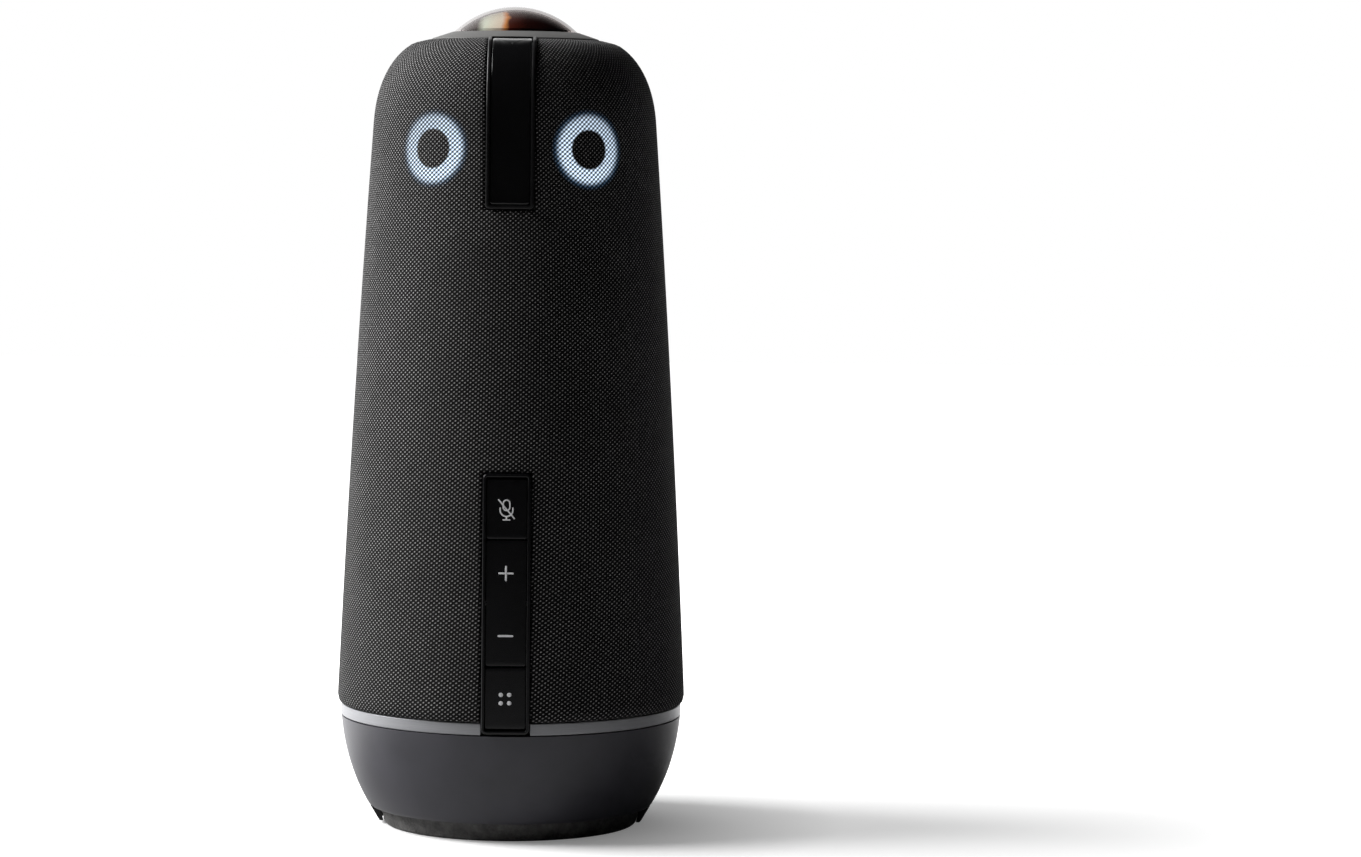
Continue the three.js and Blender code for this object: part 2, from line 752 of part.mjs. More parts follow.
// The port bay is a tray let into the rear wall, with its mouth flush with the bowl.
const BAY_HALF = 18.6;
const BAY_WALL = 2;
const BAY_BACK = 40;
const BAY_BOTTOM = 10.4;
const BAY_TOP = 24.6;
const PORT_Z = (BAY_BOTTOM + BAY_TOP) / 2;
const USB_X = 8;
const JACK_X = -8;
const bayWindow = block(
  -BAY_HALF - GAP,
  BAY_HALF + GAP,
  BAY_BACK - GAP,
  60,
  BAY_BOTTOM - GAP,
  BAY_TOP + GAP,
);
const insideBowl = revolve([[0, BOWL_FOOT[1]], ...bowlOuter, [0, BOWL_RIM[1]]]);
const rodAlongY = (radius, y0, y1, x, z, facets = SMALL_ROUND) =>
  rod(radius, -y1, -y0, facets).rotateX(Math.PI / 2).translate(x, 0, z);
const usbBody = (margin, y0, y1) =>
  roundedPlate(
    USB_X - 4.6 - margin,
    USB_X + 4.6 + margin,
    y0,
    y1,
    PORT_Z - 1.7 - margin,
    PORT_Z + 1.7 + margin,
    1.4 + margin,
  );
const JACK_RADIUS = 4;
const lockFrame = outward(135, 46.4, PORT_Z + 1);
piece(
  "base_housing",
  cut(
    join(
      revolve([
        [FLOOR_MOUTH, BOWL_FOOT[1]],
        ...bowlOuter,
        ...bowlInner.reverse(),
        [45.6, FLOOR_TOP],
        [FLOOR_MOUTH, FLOOR_TOP],
      ]),
      ...screwSpots.map(([x, y]) => rod(3.6, FLOOR_TOP - 1, BOSS_TOP, SMALL_ROUND, x, y)),
    ),
    bayWindow,
    roundedPlate(-3.8, 3.8, -8, 8, -1.8, 1.8, 1.2).rotateX(Math.PI / 2).applyMatrix4(lockFrame),
    ...screwSpots.map(([x, y]) => rod(1.55, 0, BOSS_TOP + 1, SMALL_ROUND, x, y)),
  ),
  SLATE,
);
piece(
  "lock_plate",
  cut(
    block(-6, 6, -4.5, 4.5, -1.5, 0),
    roundedPlate(-3.5, 3.5, -3, 3, -1.5, 1.5, 1.2).rotateX(Math.PI / 2),
  ),
  STEEL,
  lockFrame,
);
piece(
  "port_bay",
  cut(
    overlap(block(-BAY_HALF, BAY_HALF, BAY_BACK, 60, BAY_BOTTOM, BAY_TOP), insideBowl),
    block(
      -BAY_HALF + BAY_WALL,
      BAY_HALF - BAY_WALL,
      BAY_BACK + BAY_WALL,
      60,
      BAY_BOTTOM + BAY_WALL,
      BAY_TOP - BAY_WALL,
    ),
    usbBody(GAP, 39, 43),
    rodAlongY(JACK_RADIUS + GAP, 39, 43, JACK_X, PORT_Z),
  ),
  BLACK_PLASTIC,
);
const PORT_FACE = BAY_BACK + BAY_WALL + 0.6;
const PORT_BOARD_TOP = 12.2;
piece(
  "usb_port",
  join(
    cut(
      join(
        usbBody(0, 31, PORT_FACE),
        block(USB_X - 4.2, USB_X + 4.2, 31, 39, PORT_BOARD_TOP + GAP, PORT_Z),
      ),
      usbBody(-0.4, 35, PORT_FACE + 1),
    ),
    block(USB_X - 3.3, USB_X + 3.3, 34.5, PORT_FACE - 0.5, PORT_Z - 0.35, PORT_Z + 0.35),
  ),
  STEEL,
);
piece(
  "power_jack",
  join(
    cut(
      join(
        rodAlongY(JACK_RADIUS, 33, PORT_FACE, JACK_X, PORT_Z),
        block(JACK_X - 4.5, JACK_X + 4.5, 29, 39, PORT_BOARD_TOP + GAP, PORT_Z + 4.5),
      ),
      rodAlongY(2.8, 33.5, PORT_FACE + 1, JACK_X, PORT_Z),
    ),
    rodAlongY(0.9, 33, PORT_FACE - 1, JACK_X, PORT_Z, 8),
  ),
  BLACK_PLASTIC,
);
piece(
  "port_board",
  join(
    block(-17, 17, 23.5, 39, PORT_BOARD_TOP - 1.4, PORT_BOARD_TOP),
    block(-3, 3, 25, 29, PORT_BOARD_TOP - 0.1, PORT_BOARD_TOP + 5),
  ),
  CIRCUIT,
);
piece("ballast_plate", tube(50.4, 12, BAY_TOP + 2 * GAP, 33.2, 24), STEEL);

// The steel bottom plate, the tripod bush in its middle, four screws, the rubber foot and the rear skirt.
const PLATE_BOTTOM = 3;
const PLATE_TOP = 6;
const PLATE_RADIUS = 40.1;
const HEAD_TOP = 4.4;
const BUSH_RADIUS = 6;
const TRIPOD_BORE = 3.175; // a quarter-inch camera screw
piece(
  "bottom_plate",
  cut(
    rod(PLATE_RADIUS, PLATE_BOTTOM, PLATE_TOP, ROUND),
    rod(BUSH_RADIUS + GAP, 0, 9, 16),
    ...screwSpots.map(([x, y]) => rod(1.7, 0, 9, SMALL_ROUND, x, y)),
    ...screwSpots.map(([x, y]) => rod(3.3, 0, HEAD_TOP + GAP, SMALL_ROUND, x, y)),
  ),
  BLACK_PLASTIC,
);
piece(
  "tripod_insert",
  revolve(
    [
      [TRIPOD_BORE, PLATE_BOTTOM],
      [BUSH_RADIUS, PLATE_BOTTOM],
      [BUSH_RADIUS, PLATE_TOP + GAP],
      [9, PLATE_TOP + GAP],
      [9, PLATE_TOP + 2],
      [BUSH_RADIUS, PLATE_TOP + 2],
      [BUSH_RADIUS, 12],
      [0, 12],
      [0, 10.5],
      [TRIPOD_BORE, 10.5],
    ],
    16,
  ),
  BRASS,
);
screwSpots.forEach(([x, y], i) => {
  const head = cut(
    rod(3, PLATE_BOTTOM + 0.1, HEAD_TOP, SMALL_ROUND, x, y),
    block(x - 1.6, x + 1.6, y - 0.35, y + 0.35, 2, PLATE_BOTTOM + 0.9),
    block(x - 0.35, x + 0.35, y - 1.6, y + 1.6, 2, PLATE_BOTTOM + 0.9),
  );
  piece(`base_screw_${i + 1}`, join(head, rod(1.2, HEAD_TOP - 0.2, 14.5, 8, x, y)), STEEL);
});
piece(
  "foot_ring",
  revolve([
    [33, 0],
    [41, 0],
    [41.6, 0.6],
    [42.6, 4],
    [43, 5.9],
    [PLATE_RADIUS + GAP + 0.1, 5.9],
    [PLATE_RADIUS + GAP + 0.1, PLATE_BOTTOM - GAP],
    [33, PLATE_BOTTOM - GAP],
  ]),
  RUBBER,
);
piece(
  "rear_skirt",
  cut(
    revolve([
      [42.15, 1],
      [43.4, 1],
      [46.35, 6],
      [43.45, 6],
      [42.95, 4],
    ]),
    block(-60, 60, -60, -8, 0, 9),
    block(-7, 7, 30, 60, 0, 3.6),
  ),
  BLACK_PLASTIC,
);

export default part;
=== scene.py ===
"""A conference speakerphone: a tapered cloth-covered tower on a slate bowl, with a camera under a glass
dome, two lit eye rings, a gloss badge and a strip of three keys. Outlines are in millimetres and turned into
metres as each mesh is made. Azimuths run from the front, which faces -Y, towards +X."""
import math

import bmesh
import bpy
import numpy as np
from mathutils import Matrix, Vector


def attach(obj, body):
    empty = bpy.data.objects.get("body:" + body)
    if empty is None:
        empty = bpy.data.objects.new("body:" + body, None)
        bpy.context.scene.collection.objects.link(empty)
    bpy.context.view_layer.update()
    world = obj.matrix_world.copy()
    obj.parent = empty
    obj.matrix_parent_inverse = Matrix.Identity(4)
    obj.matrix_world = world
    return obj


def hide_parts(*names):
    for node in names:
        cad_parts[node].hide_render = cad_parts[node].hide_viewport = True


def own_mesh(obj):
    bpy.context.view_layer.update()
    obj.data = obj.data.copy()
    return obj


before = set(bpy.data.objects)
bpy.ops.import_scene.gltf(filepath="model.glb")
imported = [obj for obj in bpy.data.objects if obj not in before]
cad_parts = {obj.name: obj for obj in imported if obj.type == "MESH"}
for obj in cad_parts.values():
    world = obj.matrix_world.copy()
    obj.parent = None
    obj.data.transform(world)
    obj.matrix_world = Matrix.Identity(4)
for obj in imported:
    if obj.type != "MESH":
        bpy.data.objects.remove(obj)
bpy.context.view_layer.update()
scene = bpy.context.scene

# ---------------------------------------------------------------- camera
# A long lens a little to the right of the front and under the height of the dome, looking slightly down.
# The tower stands left of the middle of the frame.
SENSOR_WIDTH = 36
FOCAL_LENGTH = 107.98
CAMERA_AWAY = 1.340
CAMERA_HEIGHT = 0.220
CAMERA_AZIMUTH = math.radians(1.9)
LOOK_RIGHT = math.radians(2.353)
LOOK_DOWN = math.radians(3.822)
CAMERA_ROLL = math.radians(0.558)
camera = bpy.data.objects.new("camera", bpy.data.cameras.new("camera"))
camera.data.sensor_width = SENSOR_WIDTH
camera.data.lens = FOCAL_LENGTH
heading = LOOK_RIGHT - CAMERA_AZIMUTH
camera.matrix_world = (
    Matrix.Translation((
        CAMERA_AWAY * math.sin(CAMERA_AZIMUTH), -CAMERA_AWAY * math.cos(CAMERA_AZIMUTH), CAMERA_HEIGHT))
    @ Matrix.Rotation(-heading, 4, "Z")
    @ Matrix.Rotation(math.pi / 2 - LOOK_DOWN, 4, "X")
    @ Matrix.Rotation(CAMERA_ROLL, 4, "Z")
)
scene.collection.objects.link(camera)
scene.camera = camera
scene.view_settings.view_transform = "Standard"

# ---------------------------------------------------------------- studio
# A white paper sweep, one big soft box on the left, a thin dim one behind on the right, and a dim sky with a
# bright patch to the left. Glossy faces alone also mirror bright walls and bright paper behind the part. The
# camera sees a plain white sky.
MIDDLE = Vector((0, 0, 0.14))
BRIGHT_SKY = Vector((-0.70, 0.65, 0.30)).normalized()
SKY_DIM = 0.0085
SKY_BRIGHT = 0.8
MIRROR_WALLS = (((0, 1, 0), 0.8, 0.9), ((-0.6, 0.8, 0), 0.35, 1.5))
SWEEP = 3.0
PAPER_TONE = 0.45
PAPER_BEHIND = (-0.5, 0.87, 0)
PAPER_MIRRORED = 1.4


def feed(tree, socket, value):
    """Links a socket to another, or sets its value."""
    if isinstance(value, bpy.types.NodeSocket):
        tree.links.new(value, socket)
    elif value is not None:
        socket.default_value = value


def node(tree, kind, *inputs, output=0, **settings):
    """A new node with its first inputs fed in order. Gives back one of its outputs."""
    made = tree.nodes.new(kind)
    for name, value in settings.items():
        setattr(made, name, value)
    for socket, value in zip(made.inputs, inputs):
        feed(tree, socket, value)
    return made.outputs[output]


def calc(tree, operation, *values):
    return node(tree, "ShaderNodeMath", *values, operation=operation)


def dot(tree, vector, axis):
    return node(tree, "ShaderNodeVectorMath", vector, axis, operation="DOT_PRODUCT", output=1)


def length(tree, vector):
    return node(tree, "ShaderNodeVectorMath", vector, operation="LENGTH", output=1)


def spread(tree, value, low, high, out_low, out_high, kind="LINEAR"):
    """Carries one range of a value over to another, and holds it level beyond both ends."""
    return node(tree, "ShaderNodeMapRange", value, low, high, out_low, out_high, interpolation_type=kind)


def ramp(tree, value, low, high, out_low=0.0, out_high=1.0):
    """The same, with soft ends."""
    return spread(tree, value, low, high, out_low, out_high, "SMOOTHSTEP")


def own_place(tree):
    """Where a point is, in its piece's own axes."""
    return node(tree, "ShaderNodeTexCoord", output=3)


def new_material(name):
    """A new material, its node tree and its shader."""
    material = bpy.data.materials.new(name)
    material.use_nodes = True
    return material, material.node_tree, material.node_tree.nodes["Principled BSDF"]


def dress(tree, shader, **inputs):
    """Feeds a shader's inputs by name, with _ for each space."""
    for label, value in inputs.items():
        feed(tree, shader.inputs[label.replace("_", " ")], value)


def soft_box(name, place, width, height, watts):
    """A rectangular lamp that faces the middle of the tower."""
    light = bpy.data.lights.new(name, "AREA")
    light.shape = "RECTANGLE"
    light.size = width
    light.size_y = height
    light.energy = watts
    box = bpy.data.objects.new(name, light)
    box.location = place
    box.rotation_euler = (MIDDLE - Vector(place)).to_track_quat("-Z", "Y").to_euler()
    scene.collection.objects.link(box)


soft_box("key_light", (-1.08, 0.05, 0.98), width=0.9, height=0.9, watts=38)
soft_box("rim_light", (0.95, 0.80, 0.35), width=0.2, height=0.9, watts=0.1)

world = bpy.data.worlds.new("studio_sky")
world.use_nodes = True
scene.world = world
sky = world.node_tree
direction = node(sky, "ShaderNodeTexCoord", output=0)
glow = ramp(sky, dot(sky, direction, BRIGHT_SKY), 0.45, 1.0, SKY_DIM, SKY_BRIGHT)
path = node(sky, "ShaderNodeLightPath").node
walls = [
    ramp(sky, dot(sky, direction, outward), edge, 1.0, 0.0, strength)
    for outward, edge, strength in MIRROR_WALLS]
mirrored = calc(sky, "MULTIPLY", calc(sky, "MAXIMUM", *walls), path.outputs["Is Glossy Ray"])
lit = calc(sky, "MAXIMUM", glow, mirrored)
shade = calc(sky, "MAXIMUM", lit, path.outputs["Is Camera Ray"])
sky.nodes["Background"].inputs["Color"].default_value = (1, 1, 1, 1)
sky.links.new(shade, sky.nodes["Background"].inputs["Strength"])

sweep_mesh = bpy.data.meshes.new("floor")
sweep_mesh.from_pydata(
    [(-SWEEP, -SWEEP, 0), (SWEEP, -SWEEP, 0), (SWEEP, SWEEP, 0), (-SWEEP, SWEEP, 0)], [], [(0, 1, 2, 3)])
sweep = bpy.data.objects.new("floor", sweep_mesh)
scene.collection.objects.link(sweep)
paper, tree, shader = new_material("white_paper")
path = node(tree, "ShaderNodeLightPath").node
seen = path.outputs["Is Camera Ray"]
spot = own_place(tree)
away = length(tree, spot)
# The key light casts a real shadow on the paper. The paper's glow for the camera is also lower close to the
# part: a painted shade round the foot that fades out further away.
painted_shade_near_part = spread(tree, away, 0.04, 0.11, 0.18, 0.52)
far = ramp(tree, away, 0.11, 0.5, 0.0, 0.48)
behind = ramp(tree, dot(tree, spot, PAPER_BEHIND), 0.02, 0.18, 0.0, PAPER_MIRRORED)
mirrored = calc(tree, "MULTIPLY", behind, path.outputs["Is Glossy Ray"])
paper_light = calc(tree, "MULTIPLY_ADD", calc(tree, "ADD", painted_shade_near_part, far), seen, mirrored)
dress(
    tree, shader, Base_Color=calc(tree, "MULTIPLY_ADD", seen, PAPER_TONE, PAPER_TONE), Roughness=0.9,
    Specular_IOR_Level=0.0, Emission_Color=(1, 1, 1, 1), Emission_Strength=paper_light)
sweep_mesh.materials.append(paper)

# ---------------------------------------------------------------- cloth sleeve
# A tube of dark woven cloth pulled tight over the moulded tower and glued at its hem and crown. It is cut
# away for the badge and the key strip, and its raw edges are tucked in.
MM = 0.001
HEM = (55.9, 40.3)
HIP = (57.0, 43.5)
NECK = (46.16, 230)
CREST = (33.3, 255.85)
CROWN = (27.7, 257.2)
WELD = 1e-7


def bezier(points, steps):
    """Points along a Bezier curve of any degree."""
    share = np.linspace(0, 1, steps + 1)[:, None]
    rungs = [np.array(point, float) for point in points]
    while len(rungs) > 1:
        rungs = [a + (b - a) * share for a, b in zip(rungs, rungs[1:])]
    return rungs[0]


SKIN = np.vstack([
    bezier([HEM, (57.2, 40.7), HIP], 12),
    bezier([HIP, (52.73, 136.75), NECK], 120)[1:],
    bezier([NECK, (45.37, 242.16), (40.87, 251.45), CREST], 48)[1:],
    bezier([CREST, CROWN], 8)[1:],
])
SKIN_RUN = np.concatenate([[0], np.cumsum(np.linalg.norm(np.diff(SKIN, axis=0), axis=1))])
heading_up = np.gradient(SKIN, SKIN_RUN, axis=0)
SKIN_OUT = np.stack([heading_up[:, 1], -heading_up[:, 0]], 1)
SKIN_OUT /= np.linalg.norm(SKIN_OUT, axis=1)[:, None]


def on_skin(run, proud=0.0):
    """Radius and height, a given way up the tower's outline and standing proud of its face."""
    spots = [np.interp(run, SKIN_RUN, SKIN[:, k]) for k in (0, 1)]
    outs = [np.interp(run, SKIN_RUN, SKIN_OUT[:, k]) for k in (0, 1)]
    return np.stack([spot + proud * out for spot, out in zip(spots, outs)], -1)


def run_at(height):
    return float(np.interp(height, SKIN[:, 1], SKIN_RUN))


def skin_radius(height, proud=0.0):
    return np.interp(height, SKIN[:, 1], SKIN[:, 0]) + proud


def mesh_piece(name, corners, faces, material, slot, body, crease):
    """A smooth-shaded piece from corners in millimetres. It rides on a body if it has a slot."""
    made = bmesh.new()
    spots = [made.verts.new(corner) for corner in np.asarray(corners, float) * MM]
    for face in faces:
        face = list(dict.fromkeys(face))
        if len(face) > 2:
            made.faces.new([spots[i] for i in face])
    bmesh.ops.remove_doubles(made, verts=made.verts, dist=WELD)
    bmesh.ops.dissolve_degenerate(made, edges=made.edges, dist=WELD)
    bmesh.ops.recalc_face_normals(made, faces=made.faces)
    mesh = bpy.data.meshes.new(name)
    made.to_mesh(mesh)
    made.free()
    mesh.materials.append(material)
    mesh.polygons.foreach_set("use_smooth", [True] * len(mesh.polygons))
    mesh.set_sharp_from_angle(angle=math.radians(crease))
    piece = bpy.data.objects.new(name, mesh)
    scene.collection.objects.link(piece)
    if slot:
        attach(piece, body)
    return piece


def noise(tree, place, scale, detail, roughness):
    return node(tree, "ShaderNodeTexNoise", place, None, scale, detail, roughness)


def toned(tree, colour, strength):
    """A colour made darker and lighter by a pattern."""
    return node(tree, "ShaderNodeVectorMath", colour, None, None, strength, operation="SCALE")


def emboss(tree, shader, strength, depth, pattern):
    """Puts a pattern into the shaded relief. Its depth is in millimetres."""
    bump = node(tree, "ShaderNodeBump", strength, depth * MM, None, pattern)
    tree.links.new(bump, shader.inputs["Normal"])


def plastic(name, colour, roughness, grain, depth, **more):
    """Moulded plastic: a fine spark-eroded grain in the relief and the gloss, and a faint cloudy tone."""
    material, tree, shader = new_material(name)
    place = own_place(tree)
    fine = noise(tree, place, 1 / (grain * MM), 3.0, 0.6)
    cloud = noise(tree, place, 60.0, 3.0, 0.5)
    tone = spread(tree, cloud, 0.3, 0.7, 0.86, 1.14)
    worn = calc(tree, "MULTIPLY", fine, cloud)
    gloss = spread(tree, worn, 0.1, 0.4, roughness * 0.85, roughness * 1.15)
    dress(tree, shader, Base_Color=toned(tree, colour, tone), Roughness=gloss, **more)
    emboss(tree, shader, 1.0, depth, fine)
    return material


SLOT_HALF = 7.95
STRIP_TOP = 119.25
BADGE_BOTTOM = 202.7
EDGE_GAP = 0.3
EDGE_ROLL = 0.9
HEM_SQUARE = 0.7
CLOTH_THICK = 0.9
ROW_PITCH = 1.9
MEAN_RADIUS = 50
CLOTH_COLUMNS = 226
BRIDGE_COLUMNS = 12
WEAVE_COLUMNS = 181
WEAVE_ROW = 1.41
WEAVE_RISE = 10
NEAR_EDGE = np.array([0.0, 0.08, 0.22, 0.42, 0.66, 0.95])
GROUND_YARN = (0.0040, 0.0038, 0.0038)
LIGHT_YARN = (0.345, 0.340, 0.341)


def stops(start, end, pitch):
    """Places from start to end, a pitch apart, with closer ones where the cloth's edge may turn in."""
    count = max(2, round((end - start) / pitch))
    inner = np.linspace(start + NEAR_EDGE[-1], end - NEAR_EDGE[-1], count)
    return np.concatenate([start + NEAR_EDGE[:-1], inner, end - NEAR_EDGE[-2::-1]])


strip_end = run_at(STRIP_TOP) + EDGE_GAP
badge_start = run_at(BADGE_BOTTOM) - EDGE_GAP
skin_end = SKIN_RUN[-1]
row_runs = np.unique(np.round(np.concatenate([
    stops(start, end, ROW_PITCH)
    for start, end in ((0, strip_end), (strip_end, badge_start), (badge_start, skin_end))
]), 4))
girth = 2 * math.pi * MEAN_RADIUS
round_share = stops(0, girth, girth / CLOTH_COLUMNS) / girth
bridge_share = stops(0, 2 * SLOT_HALF, 2 * SLOT_HALF / BRIDGE_COLUMNS) / (2 * SLOT_HALF)

radii = on_skin(row_runs)[:, 0][:, None]
slot_turn = np.arcsin(SLOT_HALF / radii)
turns = np.hstack([
    slot_turn + (2 * math.pi - 2 * slot_turn) * round_share[None, :],
    2 * math.pi - slot_turn + 2 * slot_turn * bridge_share[None, 1:],
])
runs = np.repeat(row_runs[:, None], turns.shape[1], 1)
swing = np.abs((turns + math.pi) % (2 * math.pi) - math.pi)
beside = np.maximum((swing - slot_turn) * radii, 0)
to_strip = np.hypot(beside, np.maximum(runs - strip_end, 0))
to_badge = np.hypot(beside, np.maximum(badge_start - runs, 0))
to_edge = np.minimum.reduce([to_strip, to_badge, runs + HEM_SQUARE, skin_end - runs])
near = np.clip(EDGE_ROLL - to_edge, 0, EDGE_ROLL)
tuck = EDGE_ROLL - np.sqrt(EDGE_ROLL**2 - near**2)
profile = on_skin(runs, -tuck)
cloth_spots = np.stack([
    profile[..., 0] * np.sin(turns), -profile[..., 0] * np.cos(turns), profile[..., 1]], -1)

# The weave leans: to the left going up near the crown, to the right near the hem.
lean = np.radians(np.interp(SKIN_RUN, [0, skin_end], [4.0, -3.0]))
lean_cells = np.concatenate([[0], np.cumsum(
    np.tan(lean[1:]) * np.diff(SKIN_RUN) * WEAVE_COLUMNS / (2 * math.pi * SKIN[1:, 0]))])
cell_u = WEAVE_COLUMNS * turns / (2 * math.pi) - np.interp(runs, SKIN_RUN, lean_cells)
cell_v = runs / WEAVE_ROW - WEAVE_RISE * turns / (2 * math.pi)
cells = np.stack([cell_u, cell_v], -1)

made = bmesh.new()
spots = [[made.verts.new(spot) for spot in row] for row in cloth_spots * MM]
cell_layer = made.loops.layers.uv.new("weave_cells")
round_columns = len(round_share) - 1
for i in range(len(row_runs) - 1):
    bridged = strip_end - 0.01 < row_runs[i] and row_runs[i + 1] < badge_start + 0.01
    for j in range(turns.shape[1] - 1 if bridged else round_columns):
        ring = [(i, j), (i, j + 1), (i + 1, j + 1), (i + 1, j)]
        face = made.faces.new([spots[a][b] for a, b in ring])
        face.smooth = True
        for loop, (a, b) in zip(face.loops, ring):
            loop[cell_layer].uv = cells[a, b]
bmesh.ops.delete(made, geom=[spot for spot in made.verts if not spot.link_faces], context="VERTS")
bmesh.ops.remove_doubles(made, verts=made.verts, dist=WELD)
sleeve_mesh = bpy.data.meshes.new("cloth_sleeve")
made.to_mesh(sleeve_mesh)
made.free()
sleeve = bpy.data.objects.new("cloth_sleeve", sleeve_mesh)
scene.collection.objects.link(sleeve)
thick = sleeve.modifiers.new("cloth_thickness", "SOLIDIFY")
thick.thickness = CLOTH_THICK * MM
thick.offset = -1.0

EYE_HEIGHT = 221.6
EYE_AZIMUTH = math.radians(32.2)
EYE_OUTER = 11.8
EYE_INNER = 6.1
EYE_WHITE = (0.78, 0.93, 1.10)
EYE_BLUE = (0.022, 0.060, 0.115)
EYE_POWER = 1.4
FADE_UP = 0.22
FADE_OUT = 0.16

# Light flecks of a thick yarn over a near-black ground. The eyes' light comes through the yarns and leaves
# the holes between them dark.
woven, tree, shader = new_material("woven_cloth")
cell = node(tree, "ShaderNodeUVMap", uv_map="weave_cells")
split = node(tree, "ShaderNodeSeparateXYZ", cell).node
across, upward = split.outputs[0], split.outputs[1]
right_cell = calc(tree, "ADD", across, upward)
left_cell = calc(tree, "SUBTRACT", across, upward)
rising = calc(tree, "COSINE", calc(tree, "MULTIPLY", left_cell, 2 * math.pi))
falling = calc(tree, "COSINE", calc(tree, "MULTIPLY", right_cell, 2 * math.pi))
knot = calc(tree, "ADD", calc(tree, "MULTIPLY", rising, 0.60), calc(tree, "MULTIPLY", falling, 0.40))
cell_id = node(
    tree, "ShaderNodeCombineXYZ", calc(tree, "ROUND", right_cell), calc(tree, "ROUND", left_cell))
chance = node(tree, "ShaderNodeTexWhiteNoise", cell_id, noise_dimensions="3D", output=0)
place = own_place(tree)
fibre = noise(tree, place, 5200.0, 3.0, 0.6)
patch = noise(tree, place, 55.0, 3.0, 0.55)
shoulder_low = calc(tree, "ADD", 0.27, calc(tree, "MULTIPLY", chance, 0.2))
fleck = ramp(tree, calc(tree, "SUBTRACT", knot, shoulder_low), 0.0, 0.45)
patch_tone = ramp(tree, patch, 0.3, 0.7, 0.9, 1.1)
yarn_tone = calc(tree, "MULTIPLY", ramp(tree, chance, 0.0, 1.0, 0.7, 1.25), patch_tone)
yarn_light = calc(tree, "MULTIPLY", yarn_tone, ramp(tree, fibre, 0.25, 0.75, 0.75, 1.2))
yarns = node(tree, "ShaderNodeMix", data_type="VECTOR", output=1).node
feed(tree, yarns.inputs[0], fleck)
feed(tree, yarns.inputs[4], toned(tree, GROUND_YARN, yarn_light))
feed(tree, yarns.inputs[5], toned(tree, LIGHT_YARN, yarn_light))
dress(
    tree, shader, Base_Color=yarns.outputs[1], Roughness=0.85, Specular_IOR_Level=0.12, Sheen_Weight=0.04,
    Sheen_Roughness=0.5)
yarn_relief = calc(tree, "ADD", calc(tree, "MULTIPLY", knot, 0.5), calc(tree, "MULTIPLY", fibre, 0.35))
emboss(tree, shader, 0.7, 0.22, yarn_relief)


def eye_glow(side):
    """The light of one eye where it comes through: its white core and its wider blue halo."""
    axis = (side * math.sin(EYE_AZIMUTH), -math.cos(EYE_AZIMUTH), 0)
    from_eye = node(tree, "ShaderNodeVectorMath", place, (0, 0, EYE_HEIGHT * MM), operation="SUBTRACT")
    away = length(tree, node(tree, "ShaderNodeVectorMath", from_eye, axis, operation="CROSS_PRODUCT"))
    in_front = ramp(tree, dot(tree, from_eye, axis), 0, 0.01)
    inner = ramp(tree, away, (EYE_INNER - 0.2) * MM, (EYE_INNER + 0.6) * MM)
    offset = node(tree, "ShaderNodeSeparateXYZ", from_eye).node.outputs
    low_side = calc(tree, "MULTIPLY_ADD", offset[2], -FADE_UP / (EYE_OUTER * MM), 0.86)
    near_side = calc(tree, "MULTIPLY_ADD", offset[0], -side * FADE_OUT / (EYE_OUTER * MM), FADE_OUT * 2.1)
    evenness = calc(tree, "ADD", low_side, near_side)
    parts = []
    for before, after in ((-2.4, 0.1), (-1.2, 1.4)):
        part = ramp(tree, away, (EYE_OUTER + before) * MM, (EYE_OUTER + after) * MM, 1.0, 0.0)
        lit_part = calc(tree, "MULTIPLY", calc(tree, "MULTIPLY", part, inner), in_front)
        parts.append(calc(tree, "MULTIPLY", evenness, lit_part))
    return parts


core, halo = [calc(tree, "ADD", *pair) for pair in zip(eye_glow(-1), eye_glow(1))]
eye_light = node(
    tree, "ShaderNodeVectorMath", toned(tree, EYE_WHITE, core), toned(tree, EYE_BLUE, halo), operation="ADD")
through = calc(tree, "ADD", 0.05, calc(tree, "MULTIPLY", 0.95, ramp(tree, knot, -0.55, 0.95)))
eye_strength = calc(tree, "MULTIPLY", through, EYE_POWER)
dress(tree, shader, Emission_Color=eye_light, Emission_Strength=eye_strength)
sleeve_mesh.materials.append(woven)
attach(sleeve, "housing")
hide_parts("fabric_sleeve")

# ---------------------------------------------------------------- eye rings
# Two opal light guides behind the cloth, moulded in clouded plastic and curved to the tower's wall. Lamps on
# the boards behind them light them from their backs.


def loft(name, loops, material, slot, body="housing", closed=False, crease=40):
    """A skin over loops of points. Its ends are filled straight across, or joined when closed."""
    loops = np.asarray(loops, float)
    count, size = loops.shape[:2]
    faces = []
    for i in range(count if closed else count - 1):
        low, high = i * size, (i + 1) % count * size
        for j in range(size):
            k = (j + 1) % size
            faces.append((low + j, low + k, high + k, high + j))
    if not closed:
        for start in (0, (count - 1) * size):
            for j in range((size - 1) // 2):
                faces.append((start + j, start + j + 1, start + size - 2 - j, start + size - 1 - j))
    return mesh_piece(name, loops.reshape(-1, 3), faces, material, slot, body, crease)


def at_azimuth(across, out, height, azimuth):
    """Places points given across and out from the axis, as seen from an azimuth."""
    return np.stack([
        across * math.cos(azimuth) + out * math.sin(azimuth),
        across * math.sin(azimuth) - out * math.cos(azimuth), height], -1)


def glowing(name, colour, strength):
    """A lit diffuser, a little uneven from the lamps behind it."""
    material = plastic(name, (0.85, 0.88, 0.92), 0.4, 0.2, 0.01)
    tree = material.node_tree
    lamps = noise(tree, own_place(tree), 160.0, 1.0, 0.4)
    light = spread(tree, lamps, 0.3, 0.7, strength * 0.8, strength * 1.2)
    dress(tree, tree.nodes["Principled BSDF"], Emission_Color=colour, Emission_Strength=light)
    return material


